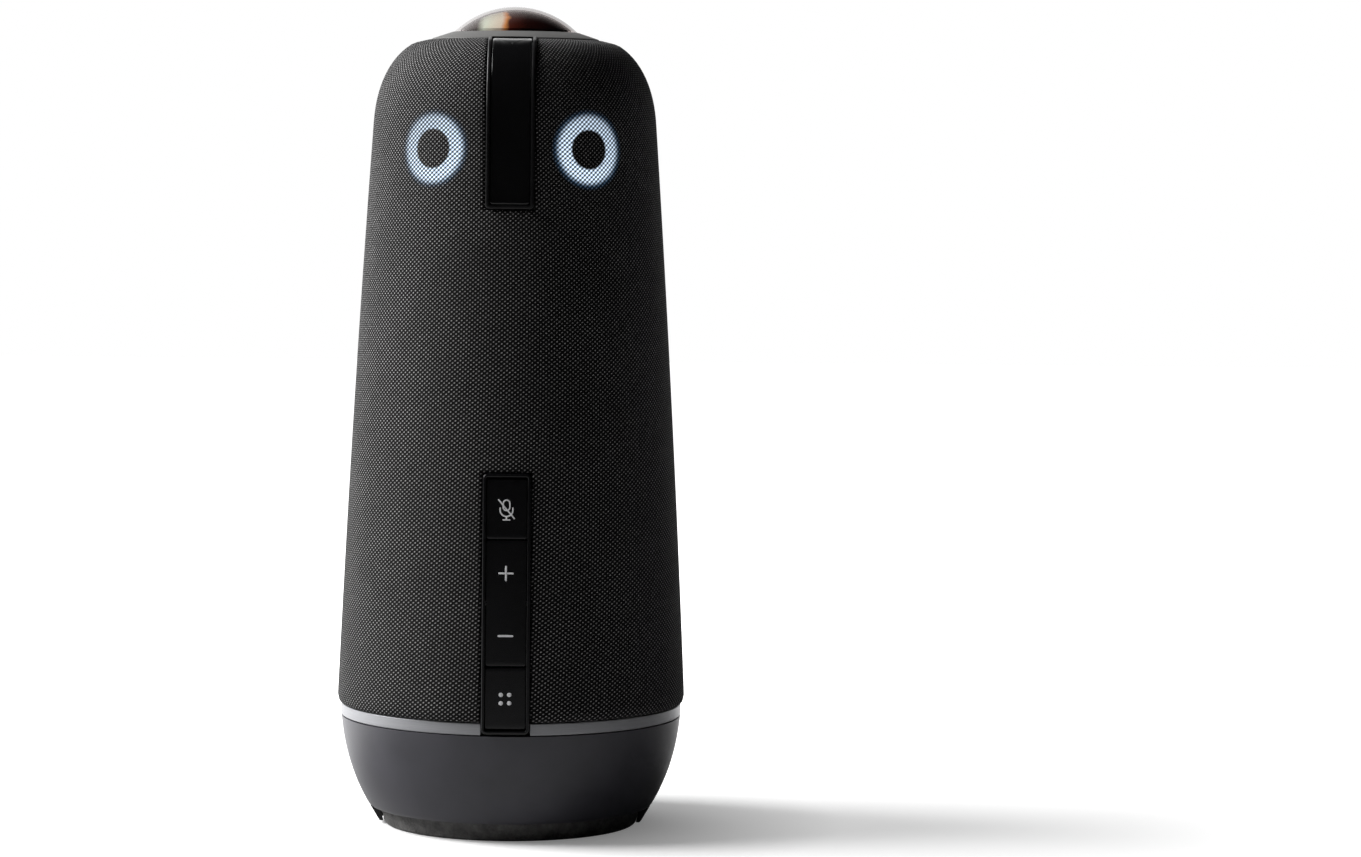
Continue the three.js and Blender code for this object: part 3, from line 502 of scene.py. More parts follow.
opal = glowing("opal_light_guide", (0.75, 0.88, 1.0, 1), 1.5)
EYE_MIDDLE = 9.2
guide_steps = (
    (EYE_INNER, 3.5), (EYE_INNER, 1.5), (EYE_INNER + 0.2, 1.3), (EYE_MIDDLE, 1.3), (EYE_OUTER - 0.2, 1.3),
    (EYE_OUTER, 1.5), (EYE_OUTER, 3.5), (EYE_OUTER - 0.2, 3.7), (EYE_MIDDLE, 3.7), (EYE_INNER + 0.2, 3.7))
spin = np.linspace(0, 2 * math.pi, 72, endpoint=False)
for side, azimuth in (("left", -EYE_AZIMUTH), ("right", EYE_AZIMUTH)):
    loops = []
    for radius, inset in guide_steps:
        across, height = radius * np.cos(spin), EYE_HEIGHT + radius * np.sin(spin)
        reach = np.sqrt(skin_radius(height, -inset) ** 2 - across**2)
        loops.append(at_azimuth(across, reach, height, azimuth))
    ring = loft(f"light_guide_{side}", loops, opal, "lit_opal", closed=True)
    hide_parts(f"eye_ring_{side}")

# ---------------------------------------------------------------- badge
# A satin black tray let into the brow, and a gloss black plate set in it. Both run up over the shoulder to
# the top ring. The plate is plain.
BADGE_HALF = 7.65
BADGE_RIM = 1.1
CROWN_RUN = SKIN_RUN[-1] - math.dist(CREST, CROWN)
CROWN_LENGTH = math.dist(CREST, CROWN)


def rounded_outline(half, low, high, radius, corner=5, side=64, end=8):
    """A rounded rectangle from the bottom's middle round to it again, evenly numbered left and right."""
    turn = np.linspace(0, math.pi / 2, corner + 1)
    bottom = np.stack([np.linspace(0, half - radius, end, endpoint=False), np.full(end, low)], 1)[1:]
    low_corner = np.stack([half - radius + radius * np.sin(turn), low + radius - radius * np.cos(turn)], 1)
    flank = np.stack([np.full(side, half), np.linspace(low + radius, high - radius, side + 1)[1:]], 1)
    high_corner = np.stack([
        half - radius + radius * np.cos(turn), high - radius + radius * np.sin(turn)], 1)[1:]
    top = np.stack([np.linspace(half - radius, 0, end + 1)[1:-1], np.full(end - 1, high)], 1)
    right = np.vstack([bottom, low_corner, flank, high_corner, top])
    return np.vstack([right, right[::-1] * [-1, 1]])


def over_brow(outline, proud):
    """Places an outline, as across and up the skin, over the front of the tower, flat from side to side."""
    spots = on_skin(outline[:, 1], proud)
    return np.stack([outline[:, 0], -spots[:, 0], spots[:, 1]], 1)


satin_black = plastic(
    "satin_black_moulding", (0.007, 0.007, 0.0075), 0.30, 0.1, 0.006, Specular_IOR_Level=0.4)
gloss_black = plastic(
    "gloss_black_plate", (0.0045, 0.0045, 0.005), 0.09, 0.8, 0.0015, Coat_Weight=0.6, Coat_Roughness=0.03)
badge_low = run_at(BADGE_BOTTOM)
badge_high = CROWN_RUN + 0.93 * CROWN_LENGTH
tray_steps = (
    (0.15, -1.9), (0.0, -1.75), (0.0, 0.3), (0.05, 0.44), (0.16, 0.55), (0.32, 0.6), (0.98, 0.6),
    (1.05, 0.57), (1.08, 0.5), (1.09, 0.3), (BADGE_RIM, -1.1))
tray = loft("badge_tray", [
    over_brow(rounded_outline(
        BADGE_HALF - inset, badge_low + inset, badge_high - inset * 0.8, max(1.3 - inset, 0.35)), proud)
    for inset, proud in tray_steps
], satin_black, "satin_black_plastic")
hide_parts("beak_frame")

PLATE_HALF = 6.25
plate_low = run_at(BADGE_BOTTOM + BADGE_RIM + 0.3)
plate_high = CROWN_RUN + 0.73 * CROWN_LENGTH
plate_steps = (
    (0.0, -0.8), (0.0, 0.05), (0.04, 0.17), (0.13, 0.26), (0.26, 0.3), (0.8, 0.31), (2.2, 0.33), (4.2, 0.35),
    (5.4, 0.36), (6.1, 0.36))
plate = loft("badge_plate", [
    over_brow(rounded_outline(
        PLATE_HALF - inset, plate_low + inset, plate_high - inset, max(0.9 - inset, 0.08)), proud)
    for inset, proud in plate_steps
], gloss_black, "gloss_black_plastic")
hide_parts("beak_plate")

# ---------------------------------------------------------------- key strip
# A bezel in a slot of the cloth with three moulded gloss keys. The strip leans back with the wall. Each key
# has a stem behind it that presses a silicone dome on the board.
STRIP_HEIGHT = 78.1
STRIP_BOTTOM = 36.8
STRIP_HALF = 7.65
KEY_HALF = 6.45
KEY_PROUD = 0.35
strip_lean = math.atan((HIP[0] - skin_radius(STRIP_TOP)) / (STRIP_TOP - HIP[1]))
strip_face = HIP[0] - math.tan(strip_lean) * (STRIP_HEIGHT - HIP[1])


def strip_up(height):
    return (height - STRIP_HEIGHT) / math.cos(strip_lean)


def in_strip(across, depth, up):
    """Places points given across the strip, into the body and up the strip."""
    across, depth, up = np.broadcast_arrays(across, depth, up)
    return np.stack([
        across,
        -strip_face + depth * math.cos(strip_lean) + up * math.sin(strip_lean),
        STRIP_HEIGHT - depth * math.sin(strip_lean) + up * math.cos(strip_lean)], -1)


key_gloss = plastic("gloss_black_keys", (0.0050, 0.0050, 0.0058), 0.16, 0.5, 0.002, Specular_IOR_Level=0.35)
bezel_steps = (
    (0.0, 6.0), (0.0, -0.35), (0.06, -0.52), (0.18, -0.64), (0.34, -0.7), (0.85, -0.7), (0.96, -0.67),
    (1.03, -0.58), (1.05, -0.4), (1.05, 6.0))
bezel_loops = []
for inset, depth in bezel_steps:
    outline = rounded_outline(
        STRIP_HALF - inset, strip_up(STRIP_BOTTOM) + inset * 1.07, strip_up(STRIP_TOP) - inset * 1.03,
        max(1.6 - inset, 0.5), side=24)
    bezel_loops.append(in_strip(outline[:, 0], depth, outline[:, 1]))
bezel = loft("key_bezel", bezel_loops, key_gloss, "black_plastic", closed=True)
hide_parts("button_bezel")

KEY_CROWN = 0.12
KEY_THICK = 2.6
STEM_HALF = 1.5
STEM_END = 5.0
ROCKER_STEM = 14.5
stem_places = {"mute": [strip_up(107.95)], "volume": [ROCKER_STEM, -ROCKER_STEM], "link": [strip_up(48.4)]}


def key_face(across):
    """Depth of a key's crowned face, counted into the body."""
    return -KEY_PROUD - KEY_CROWN * (1 - (np.asarray(across) / KEY_HALF) ** 2)


def joined(target, *others):
    """Puts other meshes into a piece, and gives the piece back."""
    merged = bmesh.new()
    merged.from_mesh(target.data)
    for other in others:
        merged.from_mesh(other.data)
    merged.to_mesh(target.data)
    merged.free()
    for other in others:
        bpy.data.objects.remove(other)
    return target


def stem(up):
    """The square post behind a key, with an eased end."""
    outline = rounded_outline(STEM_HALF, up - STEM_HALF, up + STEM_HALF, 0.3, 2, 2, 2)
    loops = []
    for inset, depth in ((0.0, KEY_THICK - 0.4), (0.0, STEM_END - 0.15), (0.15, STEM_END)):
        share = 1 - inset / STEM_HALF
        loops.append(in_strip(outline[:, 0] * share, depth, up + (outline[:, 1] - up) * share))
    return loft("stem", loops, key_gloss, None)


def key_cap(name, bottom, top, body):
    """A key with rolled edges and a slightly crowned face."""
    low, high = strip_up(bottom), strip_up(top)
    loops = []
    for inset, drop in (
        (0.0, None), (0.0, 0.3), (0.03, 0.17), (0.1, 0.07), (0.22, 0.01), (0.45, 0.0), (1.5, 0.0),
        (3.0, 0.0), (4.6, 0.0), (5.8, 0.0), (6.3, 0.0),
    ):
        corner = max(0.7 - inset, 0.1)
        outline = rounded_outline(KEY_HALF - inset, low + inset, high - inset, corner, side=16)
        depth = KEY_THICK if drop is None else key_face(outline[:, 0]) + drop
        loops.append(in_strip(outline[:, 0], depth, outline[:, 1]))
    return loft(name, loops, key_gloss, "gloss_black_plastic", body)


keys = {
    "mute": ("mute_key", 98.65, 117.5, "mute_button"),
    "volume": ("volume_rocker", 58.45, 98.15, "volume_button"),
    "link": ("link_key", 38.6, 57.95, "link_button"),
}
for name, (cad_node, bottom, top, body) in keys.items():
    cap = joined(key_cap(f"{name}_key_cap", bottom, top, body), *[stem(up) for up in stem_places[name]])
    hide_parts(cad_node)

# ---------------------------------------------------------------- key symbols
# Pale symbols printed thickly on the keys: a struck-out microphone, a plus, a minus and four dots. The ink
# follows the crowned faces, and each symbol moves with its key.
print_grey = plastic("pale_print", (0.93, 0.93, 0.95), 0.5, 0.15, 0.01)
PRINT_PROUD = 0.035
PRINT_SUNK = 0.1
SYMBOL_SIDE = -0.1
LINE = 0.46
SIGN_HALF = 2.15
DOT_APART = 1.33
DOT_WIDTH = 1.38
MIC_RADIUS = 1.05
CRADLE_RADIUS = 2.0


def stroke(name, path, width, closed=False):
    """A printed line with round ends, laid on a key's crowned face along a path of across and up."""
    path = np.array(path, float)
    half = width / 2
    if closed:
        ahead = np.roll(path, -1, 0) - np.roll(path, 1, 0)
        halves = np.full(len(path), half)
    else:
        first, last = path[0] - path[1], path[-1] - path[-2]
        first, last = first / np.linalg.norm(first), last / np.linalg.norm(last)
        swing = np.radians([86, 65, 45, 25])
        start = [path[0] + first * half * math.sin(a) for a in swing]
        finish = [path[-1] + last * half * math.sin(a) for a in swing[::-1]]
        tapers = half * np.cos(swing)
        halves = np.concatenate([tapers, np.full(len(path), half), tapers[::-1]])
        path = np.vstack([start, path, finish])
        ahead = np.gradient(path, axis=0)
    ahead /= np.linalg.norm(ahead, axis=1)[:, None]
    beside = np.stack([ahead[:, 1], -ahead[:, 0]], 1) * halves[:, None]
    loops = []
    for centre, side in zip(path, beside):
        points = np.array([centre + side, centre + side * 0.9, centre - side * 0.9, centre - side])
        proud = np.array([PRINT_PROUD * 0.6, PRINT_PROUD, PRINT_PROUD, PRINT_PROUD * 0.6])
        points = np.vstack([points, points[[3, 0]]])
        proud = np.append(proud, [-PRINT_SUNK, -PRINT_SUNK])
        loops.append(in_strip(points[:, 0], key_face(points[:, 0]) - proud, points[:, 1]))
    return loft(name, loops, print_grey, None, closed=closed)


def symbol(name, key, strokes):
    """Several printed lines as one piece, which moves with its key."""
    whole = joined(*strokes)
    whole.name = name
    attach(whole, keys[key][3])


def arc(up, radius, start, end, steps):
    turn = np.radians(np.linspace(start, end, steps))
    return np.stack([radius * np.cos(turn), up + radius * np.sin(turn)], 1)


def straight(start, end, steps=4):
    return np.linspace(start, end, steps)


def sign_bar(name, up, run, rise, width):
    """A straight bar of a sign, about a height up the strip."""
    return stroke(name, straight((SYMBOL_SIDE - run, up - rise), (SYMBOL_SIDE + run, up + rise), 9), width)


mic = np.array([SYMBOL_SIDE, strip_up(107.9) + 1.4])
capsule = np.vstack([arc(0.6, MIC_RADIUS, 0, 180, 13), arc(-0.6, MIC_RADIUS, 180, 360, 13)])
cradle = np.vstack([
    straight((-CRADLE_RADIUS, -0.9), (-CRADLE_RADIUS, -1.4), 3),
    arc(-1.55, CRADLE_RADIUS, 185, 355, 17),
    straight((CRADLE_RADIUS, -1.4), (CRADLE_RADIUS, -0.9), 3)])
symbol("mute_symbol", "mute", [
    stroke("capsule", mic + capsule, LINE, closed=True),
    stroke("cradle", mic + cradle, LINE),
    stroke("post", mic + straight((0, -3.6), (0, -4.5)), LINE),
    stroke("base", mic + straight((-1.0, -4.6), (1.0, -4.6), 6), LINE),
    stroke("slash", mic + straight((-2.5, 1.7), (2.5, -4.2), 8), LINE),
])
symbol("volume_symbols", "volume", [
    sign_bar("plus_across", strip_up(87.8), SIGN_HALF, 0, 0.6),
    sign_bar("plus_up", strip_up(87.8), 0, SIGN_HALF, 0.6),
    sign_bar("minus", strip_up(68.0), SIGN_HALF, 0, 0.65),
])
dots = np.array([SYMBOL_SIDE, strip_up(48.1)])
symbol("link_symbol", "link", [
    stroke("dot", dots + straight((a - 0.02, b), (a + 0.02, b), 2), DOT_WIDTH)
    for a in (-DOT_APART, DOT_APART) for b in (-DOT_APART, DOT_APART)
])

# ---------------------------------------------------------------- switch domes
# Soft silicone bells, moulded in one piece each and glued by their feet to the board behind the keys' stems.
DOME_FOOT = 6.7
DOME_HEAD = 5.3
silicone = plastic("grey_silicone", (0.45, 0.46, 0.48), 0.55, 0.3, 0.01, Subsurface_Weight=0.15)
round_turn = np.linspace(0, 2 * math.pi, 32, endpoint=False)
for cad_node, up, joint, keep in (
    ("mute_dome", stem_places["mute"][0], "mute_press", 0.62),
    ("volume_up_dome", ROCKER_STEM, "volume_rock", 0.67),
    ("volume_down_dome", -ROCKER_STEM, "volume_rock", 0.67),
    ("link_dome", stem_places["link"][0], "link_press", 0.62),
):
    bell = loft(cad_node.replace("_dome", "_switch_bell"), [
        in_strip(radius * np.cos(round_turn), depth, up + radius * np.sin(round_turn))
        for radius, depth in (
            (2.45, DOME_FOOT), (2.6, 6.6), (2.55, 6.4), (2.2, 6.2), (1.85, 5.8), (1.65, 5.5), (1.5, 5.36),
            (1.3, DOME_HEAD))
    ], silicone, "silicone")
    Vector(in_strip(0, DOME_FOOT, up)) * MM
    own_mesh(bell)
    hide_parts(cad_node)

# ---------------------------------------------------------------- top ring
# A dark satin moulded ring, glued into the tower's mouth inside the cloth's top edge. Its inner step is the
# seat of the glass dome.


def eased(outline, radius):
    """A closed outline with its corners rounded off."""
    points = np.array(outline, float)
    soft = []
    for before, corner, after in zip(np.roll(points, 1, 0), points, np.roll(points, -1, 0)):
        back, ahead = before - corner, after - corner
        reach = min(radius, np.linalg.norm(back) * 0.45, np.linalg.norm(ahead) * 0.45)
        start = corner + back / np.linalg.norm(back) * reach
        end = corner + ahead / np.linalg.norm(ahead) * reach
        soft.append(bezier([start, corner, end], 4))
    return np.vstack(soft)


def turned(name, outline, material, slot, start=0.0, end=360.0, steps=160, crease=40):
    """An outline of radius and height turned round the axis, all the way or between two azimuths."""
    whole = end - start >= 360
    turns = np.radians(np.linspace(start, end, steps, endpoint=not whole))
    out, up = np.asarray(outline, float).T
    loops = [np.stack([out * math.sin(a), -out * math.cos(a), up], 1) for a in turns]
    return loft(name, loops, material, slot, closed=whole, crease=crease)


ring_satin = plastic("satin_dark_ring", (0.135, 0.134, 0.131), 0.55, 0.12, 0.006, Specular_IOR_Level=0.15)
TOP_RING = [
    (22.5, 251), (24.6, 251), (24.6, 257), (27.3, 256.4), (27.3, 257.4), (20.4, 259.7), (20.4, 257.2),
    (18.5, 257.2), (18.5, 255.6), (22.5, 255.6)]
top_ring = turned("dome_seat_ring", eased(TOP_RING, 0.35), ring_satin, "satin_black_plastic")
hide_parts("top_ring")

# ---------------------------------------------------------------- glass dome and lens
# A clear moulded dome over a dark front lens with a many-layered coating. Painted reflections of the coating
# lie in the lens's colour: bands that turn from pale green to orange and dark red across its face.
DOME_CENTRE = 239.3
DOME_RADIUS = 28.7
DOME_INNER = 27.7
DOME_EDGE = 20.1
DOME_EDGE_INNER = 18.0
DOME_SEAT = 257.5
LENS_RADIUS = 27.3
LENS_EDGE = 17.2
LENS_SEAT = 258.6
GLASS_IOR = 1.42


def bulge(radius, edge):
    """Points of a sphere's outline from a radius at its edge up to the axis."""
    turn = np.linspace(math.asin(edge / radius), 0, 28)
    return np.stack([radius * np.sin(turn), DOME_CENTRE + radius * np.cos(turn)], 1)


clear, tree, shader = new_material("clear_dome")
tree.nodes.remove(shader)
smear = noise(tree, own_place(tree), 220.0, 3.0, 0.6)
slant = ramp(tree, node(tree, "ShaderNodeLayerWeight", 0.5, output=1), 0.5, 1.0, 0.96, 0.5)
see_through = node(tree, "ShaderNodeBsdfTransparent", toned(tree, (1.0, 0.965, 0.955), slant))
shine = node(tree, "ShaderNodeBsdfGlossy", (1, 1, 1, 1), spread(tree, smear, 0.4, 0.8, 0.005, 0.03))
outside = calc(tree, "SUBTRACT", 1.0, node(tree, "ShaderNodeNewGeometry", output=6))
mirror = calc(tree, "MULTIPLY", node(tree, "ShaderNodeFresnel", GLASS_IOR), outside)
glass = node(tree, "ShaderNodeMixShader", mirror, see_through, shine)
tree.links.new(glass, tree.nodes["Material Output"].inputs["Surface"])
dome_line = np.vstack([
    [(DOME_EDGE_INNER, DOME_SEAT + 0.1), (DOME_EDGE_INNER + 0.1, DOME_SEAT), (DOME_EDGE - 0.1, DOME_SEAT),
     (DOME_EDGE, DOME_SEAT + 0.1)],
    bulge(DOME_RADIUS, DOME_EDGE), bulge(DOME_INNER, DOME_EDGE_INNER)[::-1]])
dome = turned("glass_dome", dome_line, clear, "dome_glass", crease=30)
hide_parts("lens_dome")

coated, tree, shader = new_material("front_lens_painted_reflections")
place = own_place(tree)
# Painted reflections: bands of colour across the lens, pale green, cream, orange and dark red, with a wavy
# edge.
sideways = node(tree, "ShaderNodeSeparateXYZ", place)
wavy = calc(tree, "MULTIPLY", noise(tree, place, 90.0, 2.0, 0.5), 0.006)
band = calc(tree, "ADD", sideways, wavy)
painted_reflection = node(tree, "ShaderNodeValToRGB", spread(tree, band, -0.016, 0.020, 0.0, 1.0)).node
stages = painted_reflection.color_ramp.elements
stages[0].position, stages[0].color = 0.0, (0.012, 0.004, 0.003, 1)
stages[1].position, stages[1].color = 1.0, (0.010, 0.002, 0.002, 1)
for position, colour in (
    (0.19, (0.016, 0.008, 0.006, 1)), (0.25, (0.50, 0.60, 0.51, 1)), (0.41, (0.66, 0.63, 0.52, 1)),
    (0.45, (0.62, 0.28, 0.09, 1)), (0.48, (0.060, 0.012, 0.007, 1)), (0.62, (0.020, 0.005, 0.004, 1)),
):
    stages.new(position).color = colour
dress(tree, shader, Base_Color=painted_reflection.outputs[0], Roughness=0.06, Specular_IOR_Level=0.12)
lens_line = np.vstack([
    [(0, LENS_SEAT), (LENS_EDGE - 0.1, LENS_SEAT), (LENS_EDGE, LENS_SEAT + 0.1)],
    bulge(LENS_RADIUS, LENS_EDGE)])
lens = turned("front_lens", lens_line, coated, "coated_glass", crease=25)
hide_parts("lens_element")

# ---------------------------------------------------------------- trim ring
# A brushed silver-grey band, pressed on round the tower under the cloth's hem. It is open at the front,
# where the key strip passes.
brushed, tree, shader = new_material("brushed_silver")
drawn = node(tree, "ShaderNodeMapping", own_place(tree), None, None, (60.0, 60.0, 9000.0))
lines = noise(tree, drawn, 1.0, 4.0, 0.65)
silver = toned(tree, (0.34, 0.343, 0.36), spread(tree, lines, 0.3, 0.7, 0.8, 1.15))
gloss = spread(tree, lines, 0.3, 0.7, 0.30, 0.42)
dress(tree, shader, Base_Color=silver, Metallic=0.35, Roughness=gloss)
emboss(tree, shader, 0.5, 0.006, lines)
TRIM_RADIUS = 55.9
TRIM = [
    (53.1, 36.2), (55.75, 36.2), (TRIM_RADIUS, 36.5), (TRIM_RADIUS, 39.8), (55.7, 40.05), (53.1, 40.05)]
gap_turn = math.degrees(math.asin(SLOT_HALF / TRIM_RADIUS))
trim = turned(
    "silver_trim", eased(TRIM, 0.2), brushed, "trim_metal", start=gap_turn, end=360 - gap_turn, steps=200)
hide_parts("trim_ring")

# ---------------------------------------------------------------- bowl
# The moulded base shell in matt slate plastic. It has a window for the sockets, a lock slot, and four bosses
# inside for the screws that come up through the bottom plate.
BOWL_RIM = (55.8, 35.8)
BOWL_BOTTOM = 6.3
BOWL_WALL = 2.4
BOWL_FLOOR = 8.7
BOWL_HOLE = 21.0
BOWL = bezier([(46.5, BOWL_BOTTOM), (54.28, 18.9), BOWL_RIM], 40)
SCREW_CIRCLE = 27
BOSS_BORE = 1.55
BOSS_TOP = 16
BAY_HALF = 18.6
BAY_BACK = 40
BAY_BOTTOM = 10.4
BAY_TOP = 24.6
BAY_MIDDLE = (BAY_BOTTOM + BAY_TOP) / 2
LOCK_AZIMUTH = math.radians(135)
LOCK_FACE = 46.4
CUT_CREASE = 32


def ring_at(radius, height, centre=(0, 0), steps=32):
    """A level ring of points."""
    turn = np.linspace(0, 2 * math.pi, steps, endpoint=False)
    across, along = centre[0] + radius * np.cos(turn), centre[1] + radius * np.sin(turn)
    return np.stack([across, along, np.full(steps, height)], 1)


def drill(radius, low, high, centre, steps):
    """An upright round cutter."""
    return loft("drill", [ring_at(radius, height, centre, steps) for height in (low, high)], slate, None)


def facing_rear(outline, depth):
    """Places an outline, as across and height, at a depth along Y."""
    return np.stack([outline[:, 0], np.broadcast_to(depth, len(outline)), outline[:, 1]], 1)


def facing_lock(outline, out):
    """Places an outline on the lock slot's face, at a distance from the axis."""
    return at_azimuth(outline[:, 0], out, BAY_MIDDLE + 1 + outline[:, 1], LOCK_AZIMUTH)


def rear_bar(outline, start, end, material):
    """A straight bar along Y, to add to a piece or to cut with."""
    return loft("rear_bar", [facing_rear(outline, y) for y in (start, end)], material, None)


def carved(piece, *cutters):
    """Cuts each cutter out of a piece and puts the cutters away."""
    for cutter in cutters:
        cut = piece.modifiers.new("cut", "BOOLEAN")
        cut.object = cutter
        cut.operation = "DIFFERENCE"
        cut.solver = "EXACT"
    bpy.context.view_layer.update()
    evaluated = piece.evaluated_get(bpy.context.evaluated_depsgraph_get())
    mesh = bpy.data.meshes.new_from_object(evaluated)
    piece.modifiers.clear()
    piece.data = mesh
    mesh.polygons.foreach_set("use_smooth", [True] * len(mesh.polygons))
    mesh.set_sharp_from_angle(angle=math.radians(CUT_CREASE))
    for cutter in cutters:
        bpy.data.objects.remove(cutter)


def bowl_reach(across, height, inset):
    """How far back the bowl's outer face is, at a place across and a height."""
    radius = np.interp(height, BOWL[:, 1], BOWL[:, 0]) - inset
    return np.sqrt(radius**2 - across**2)


slate = plastic("matt_slate_moulding", (0.053, 0.052, 0.063), 0.38, 0.14, 0.010)
bowl_heading = np.gradient(BOWL, axis=0)
bowl_heading /= np.linalg.norm(bowl_heading, axis=1)[:, None]
bowl_inner = (BOWL + BOWL_WALL * np.stack([-bowl_heading[:, 1], bowl_heading[:, 0]], 1))[3:]
bowl_line = np.vstack([
    [(BOWL_HOLE, BOWL_BOTTOM), (46.2, BOWL_BOTTOM)], BOWL[1:-1],
    [BOWL_RIM, (55.7, 35.88), (55.5, 35.92), (53.6, 35.9)], bowl_inner[::-1],
    [(45.6, BOWL_FLOOR), (BOWL_HOLE, BOWL_FLOOR)]])
bowl = turned("slate_bowl", bowl_line, slate, "slate_plastic", steps=240)
screw_spots = [
    (SCREW_CIRCLE * math.sin(a), -SCREW_CIRCLE * math.cos(a)) for a in np.radians([45, 135, 225, 315])]
bay_outline = rounded_outline(BAY_HALF + 0.3, BAY_BOTTOM - 0.3, BAY_TOP + 0.3, 2.6, side=8)
lock_outline = rounded_outline(3.8, -1.8, 1.8, 1.2, side=3, end=4)
carved(
    bowl,
    rear_bar(bay_outline, BAY_BACK - 0.3, 60, slate),
    loft("slot", [facing_lock(lock_outline, 42), facing_lock(lock_outline, 58)], slate, None),
    *[drill(BOSS_BORE, 4, 12, spot, 24) for spot in screw_spots],
)
boss_steps = (
    (BOSS_BORE, 8.0), (3.6, 8.0), (3.6, 15.8), (3.4, BOSS_TOP), (1.75, BOSS_TOP), (BOSS_BORE, 15.8))
joined(bowl, *[
    loft("boss", [ring_at(radius, height, spot) for radius, height in boss_steps], slate, None, closed=True)
    for spot in screw_spots])
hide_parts("base_housing")

# ---------------------------------------------------------------- sockets
# A black tray let into the rear of the bowl, flush with its curve, holds a USB socket and a power jack. A
# steel plate behind the bowl's wall makes the lock slot.
dull_black = plastic("black_moulding", (0.016, 0.016, 0.017), 0.45, 0.12, 0.012)
bay_steps = (
    (0.0, None, BAY_BACK), (0.0, 0.25, None), (0.12, 0.08, None), (0.35, 0.0, None), (1.65, 0.0, None),
    (1.88, 0.08, None), (2.0, 0.3, None), (2.0, None, BAY_BACK + 2))
bay_loops = []
for inset, sink, depth in bay_steps:
    outline = rounded_outline(
        BAY_HALF - inset, BAY_BOTTOM + inset, BAY_TOP - inset, max(2.3 - inset, 0.6), side=12, end=14)
    back = bowl_reach(outline[:, 0], outline[:, 1], sink) if depth is None else depth
    bay_loops.append(facing_rear(outline, back))
bay = loft("socket_bay", bay_loops, dull_black, "black_plastic")
PORT_FACE = BAY_BACK + 2.6
USB_X = 8
JACK_X = -8


def usb_outline(margin):
    outline = rounded_outline(4.6 + margin, -1.7 - margin, 1.7 + margin, 1.4 + margin, 6, 2, 6)
    return outline + [USB_X, BAY_MIDDLE]


def jack_outline(radius):
    return np.stack([JACK_X + radius * np.cos(round_turn), BAY_MIDDLE + radius * np.sin(round_turn)], 1)


carved(
    bay, rear_bar(usb_outline(0.3), BAY_BACK - 1, BAY_BACK + 3, dull_black),
    rear_bar(jack_outline(4.3), BAY_BACK - 1, BAY_BACK + 3, dull_black))
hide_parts("port_bay")


def metal(name, colour, roughness, streak):
    """Worked metal with fine streaks in its gloss and tone."""
    material, tree, shader = new_material(name)
    drawn = node(tree, "ShaderNodeMapping", own_place(tree), None, None, streak)
    lines = noise(tree, drawn, 1.0, 4.0, 0.6)
    tone = spread(tree, lines, 0.3, 0.7, 0.85, 1.12)
    gloss = spread(tree, lines, 0.3, 0.7, roughness * 0.8, roughness * 1.25)
    dress(tree, shader, Base_Color=toned(tree, colour, tone), Metallic=1.0, Roughness=gloss)
    emboss(tree, shader, 0.4, 0.004, lines)
    return material


steel = metal("pressed_steel", (0.55, 0.56, 0.57), 0.3, (3000.0, 300.0, 3000.0))
usb_rings = (
    (0.0, 31), (0.0, PORT_FACE - 0.15), (-0.12, PORT_FACE), (-0.32, PORT_FACE), (-0.4, PORT_FACE - 0.12),
    (-0.4, 35))
usb_shell = loft("usb_socket", [facing_rear(usb_outline(m), y) for m, y in usb_rings], steel, "steel")
tongue = rounded_outline(3.3, -0.35, 0.35, 0.15, 2, 2, 4) + [USB_X, BAY_MIDDLE]
foot_block = rounded_outline(4.2, 12.5, BAY_MIDDLE, 0.3, 2, 3, 4) + [USB_X, 0]
joined(usb_shell, rear_bar(tongue, 34.5, PORT_FACE - 0.5, steel), rear_bar(foot_block, 31, 38.9, steel))
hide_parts("usb_port")
jack_rings = (
    (4.0, 33), (4.0, PORT_FACE - 0.2), (3.85, PORT_FACE), (3.0, PORT_FACE), (2.8, PORT_FACE - 0.2),
    (2.8, 33.5))
jack = loft(
    "power_socket", [facing_rear(jack_outline(r), y) for r, y in jack_rings], dull_black, "black_plastic")
jack_foot = rounded_outline(4.5, 12.5, BAY_MIDDLE + 4.5, 0.4, 2, 3, 4) + [JACK_X, 0]
joined(jack, rear_bar(jack_foot, 29, 33.2, dull_black))
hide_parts("power_jack")
loft("power_pin", [
    facing_rear(jack_outline(r), y) for r, y in ((0.9, 33), (0.9, 41.2), (0.7, 41.55), (0.3, 41.7))
], steel, "steel")

LOCK_THICK = 1.5
lock_loops = []
for inset, out in ((0.0, 0.0), (0.0, 1.4), (0.12, LOCK_THICK), (2.4, LOCK_THICK), (2.5, 1.4), (2.5, 0.0)):
    half_high = 4.5 - inset * 0.6
    outline = rounded_outline(6 - inset, -half_high, half_high, 0.8, side=3, end=4)
    lock_loops.append(facing_lock(outline, LOCK_FACE - LOCK_THICK + out))
lock = loft("lock_slot_plate", lock_loops, steel, "steel", closed=True)
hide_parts("lock_plate")

# ---------------------------------------------------------------- foot and skirt
# A pebbled rubber ring glued under the bottom plate, and a black skirt round the rear half with a notch that
# lets the cables out.
rubber, tree, shader = new_material("pebbled_rubber")
place = own_place(tree)
pebble = node(tree, "ShaderNodeTexVoronoi", place, None, 900.0, feature="F1", output=0)
dusty = noise(tree, place, 240.0, 4.0, 0.65)
dusted = toned(tree, (0.090, 0.088, 0.086), spread(tree, dusty, 0.35, 0.75, 0.7, 1.9))
dress(tree, shader, Base_Color=dusted, Roughness=spread(tree, dusty, 0.3, 0.7, 0.6, 0.9))
emboss(tree, shader, 1.0, 0.25, calc(tree, "MULTIPLY_ADD", pebble, -1.0, dusty))
FOOT = [(33, 0), (41, 0), (41.6, 0.6), (42.6, 4), (43, 5.9), (40.5, 5.9), (40.5, 2.7), (33, 2.7)]
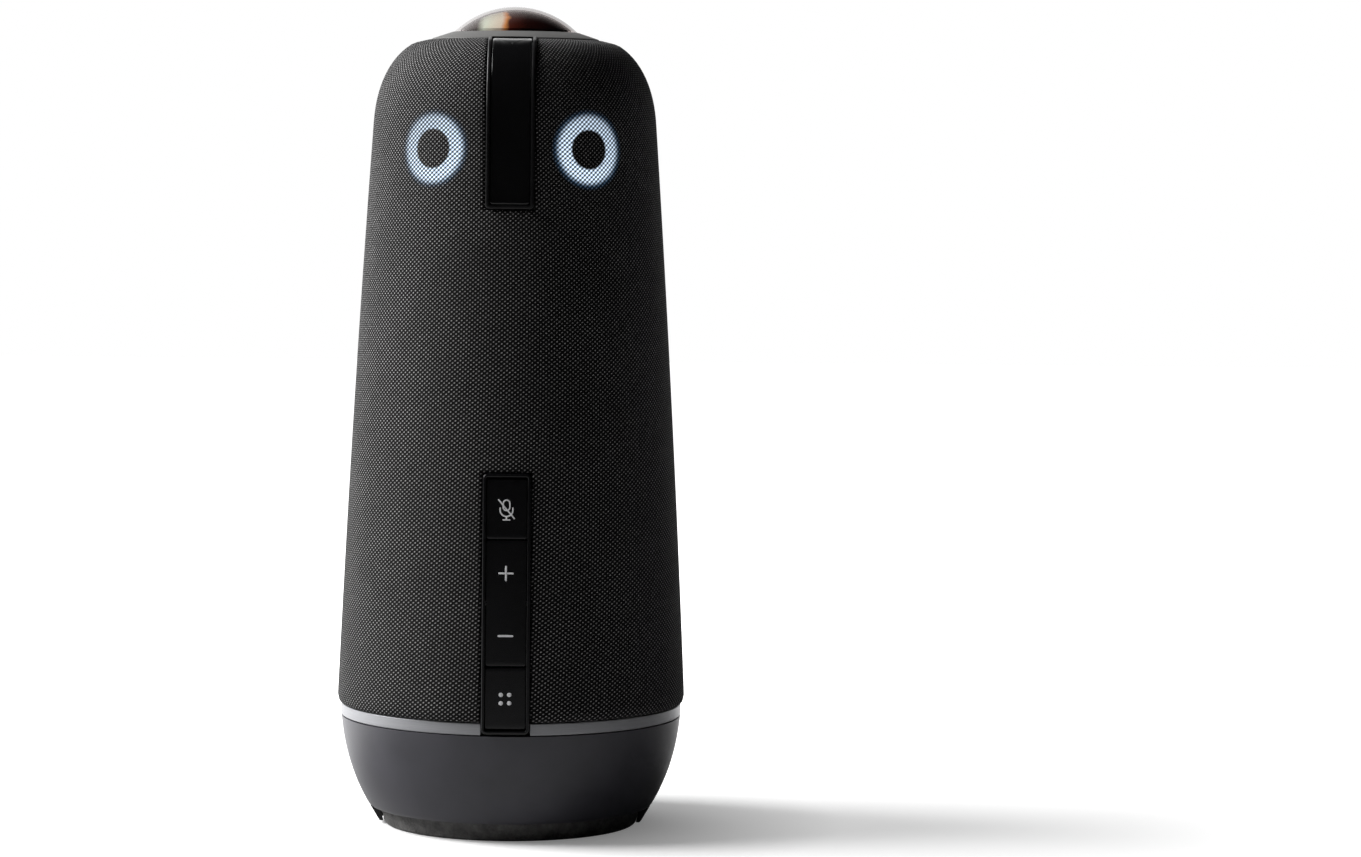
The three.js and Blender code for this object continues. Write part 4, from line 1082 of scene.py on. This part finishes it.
foot = turned("rubber_foot", eased(FOOT, 0.4), rubber, "foot_rubber", steps=200)
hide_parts("foot_ring")

SKIRT = [(42.15, 1), (43.4, 1), (46.35, 6), (43.45, 6), (42.95, 4)]
SKIRT_FRONT = 8
SKIRT_RADIUS = 44.7
skirt_turn = math.degrees(math.acos(SKIRT_FRONT / SKIRT_RADIUS))
skirt = turned(
    "rear_cable_skirt", eased(SKIRT, 0.35), dull_black, "soft_rubber",
    start=skirt_turn, end=360 - skirt_turn)
notch = rounded_outline(7, -3, 3.6, 1.5, side=4)
carved(skirt, rear_bar(notch, 38, 50, dull_black))
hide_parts("rear_skirt")

# ---------------------------------------------------------------- underside
# The moulded bottom plate, held up into the bowl by four sunk cross-head screws. A turned brass bush for a
# camera tripod sits in its middle.
PLATE_RADIUS = 40.1
PLATE_BOTTOM = 3
PLATE_TOP = 6
groove = [
    (16, PLATE_BOTTOM - 0.5), (17, PLATE_BOTTOM - 0.5), (17, PLATE_BOTTOM + 0.35), (16, PLATE_BOTTOM + 0.35)]
cover_steps = (
    (PLATE_RADIUS - 0.3, PLATE_TOP), (PLATE_RADIUS, PLATE_TOP - 0.3), (PLATE_RADIUS, PLATE_BOTTOM + 0.3),
    (PLATE_RADIUS - 0.1, PLATE_BOTTOM + 0.1), (PLATE_RADIUS - 0.3, PLATE_BOTTOM))
bottom = loft(
    "bottom_cover", [ring_at(radius, height, steps=160) for radius, height in cover_steps],
    dull_black, "black_plastic")
carved(
    bottom,
    drill(6.3, 0, 9, (0, 0), 64),
    *[drill(1.7, 0, 9, spot, 32) for spot in screw_spots],
    *[drill(3.3, 0, 4.7, spot, 40) for spot in screw_spots],
    turned("groove", groove, dull_black, None, steps=120),
)
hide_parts("bottom_plate")

THREAD_RADIUS = 3.175
THREAD_DEPTH = 0.22
THREAD_STEP = 0.635
brass = metal("turned_brass", (0.62, 0.43, 0.18), 0.28, (200.0, 200.0, 4000.0))
thread = [(THREAD_RADIUS + (THREAD_DEPTH if i % 2 else 0.0), 3.5 + THREAD_STEP * i) for i in range(11)]
bush_line = np.vstack([
    [(3.6, 3.05), (3.8, 3.0), (5.8, 3.0), (6.0, 3.2), (6.0, 6.3), (8.9, 6.3), (9.0, 6.4), (9.0, 7.9),
     (8.9, 8.0), (6.0, 8.0), (6.0, 11.8), (5.8, 12.0), (0.0, 12.0), (0.0, 10.5), (THREAD_RADIUS, 10.5)],
    thread[::-1]])
bush = turned("tripod_bush", bush_line, brass, "brass", steps=64, crease=25)
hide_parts("tripod_insert")

screw_steel = metal("screw_steel", (0.34, 0.34, 0.35), 0.35, (900.0, 900.0, 900.0))
SCREW = (
    (1.0, 14.5), (1.2, 14.2), (1.2, 4.4), (2.85, 4.4), (3.0, 4.25), (3.0, 3.5), (2.8, 3.25), (2.2, 3.12),
    (1.2, 3.1))
CROSS_LONG = 1.6
CROSS_WIDE = 0.35
for i, (x, y) in enumerate(screw_spots):
    head = loft(
        f"cover_screw_{i + 1}", [ring_at(radius, height, (x, y)) for radius, height in SCREW],
        screw_steel, "steel")
    crosses = []
    for long, wide in ((CROSS_LONG, CROSS_WIDE), (CROSS_WIDE, CROSS_LONG)):
        bar = np.array([
            (x - long, y - wide), (x + long, y - wide), (x + long, y + wide), (x - long, y + wide)])
        loops = [np.hstack([bar, np.full((4, 1), z)]) for z in (2, 4)]
        crosses.append(loft("cross", loops, screw_steel, None))
    carved(head, *crosses)
    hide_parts(f"base_screw_{i + 1}")

# ---------------------------------------------------------------- inside pieces
# Everything behind the cloth and in the bowl keeps its made shape: the moulded tower and chassis, the
# loudspeakers, the camera's parts, the boards, the heat sink, the ballast and the pivot pin. The boards are
# green, with paler lines where the copper runs under the lacquer.
circuit, tree, shader = new_material("lacquered_board")
tracks = node(
    tree, "ShaderNodeTexBrick", own_place(tree), (0.006, 0.060, 0.026, 1), (0.009, 0.078, 0.034, 1),
    (0.020, 0.120, 0.055, 1), 160.0).node
dress(tree, shader, Base_Color=tracks.outputs[0], Roughness=0.3)
emboss(tree, shader, 0.5, 0.03, tracks.outputs[1])
ferrite = plastic("ferrite_magnet", (0.035, 0.035, 0.037), 0.5, 0.3, 0.03)
pulp = plastic("pressed_paper_cone", (0.020, 0.020, 0.023), 0.85, 0.35, 0.08)
roll = plastic("rubber_surround", (0.012, 0.012, 0.012), 0.6, 0.2, 0.01)
foil = plastic("amber_film", (0.42, 0.17, 0.03), 0.3, 0.4, 0.005)
aluminium = metal("black_anodised_aluminium", (0.08, 0.08, 0.085), 0.4, (200.0, 4000.0, 200.0))
finishes = [
    (dull_black, ["upper_housing", "inner_chassis"]), (foil, ["camera_ribbon"]),
    (circuit, [
        "button_board", "main_board", "sensor_board", "mic_board", "port_board", "eye_board_left",
        "eye_board_right"]),
    (aluminium, ["heat_sink", "lens_barrel"]), (steel, ["ballast_plate", "rocker_pin", "camera_bracket"]),
]
for part, material in (
    ("frame", dull_black), ("magnet", ferrite), ("cone", pulp), ("surround", roll), ("spider", foil),
):
    finishes.append((material, [f"speaker_{part}_{side}" for side in ("right", "rear", "left")]))
for material, names in finishes:
    for name in names:
        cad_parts[name].data.materials.clear()
        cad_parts[name].data.materials.append(material)
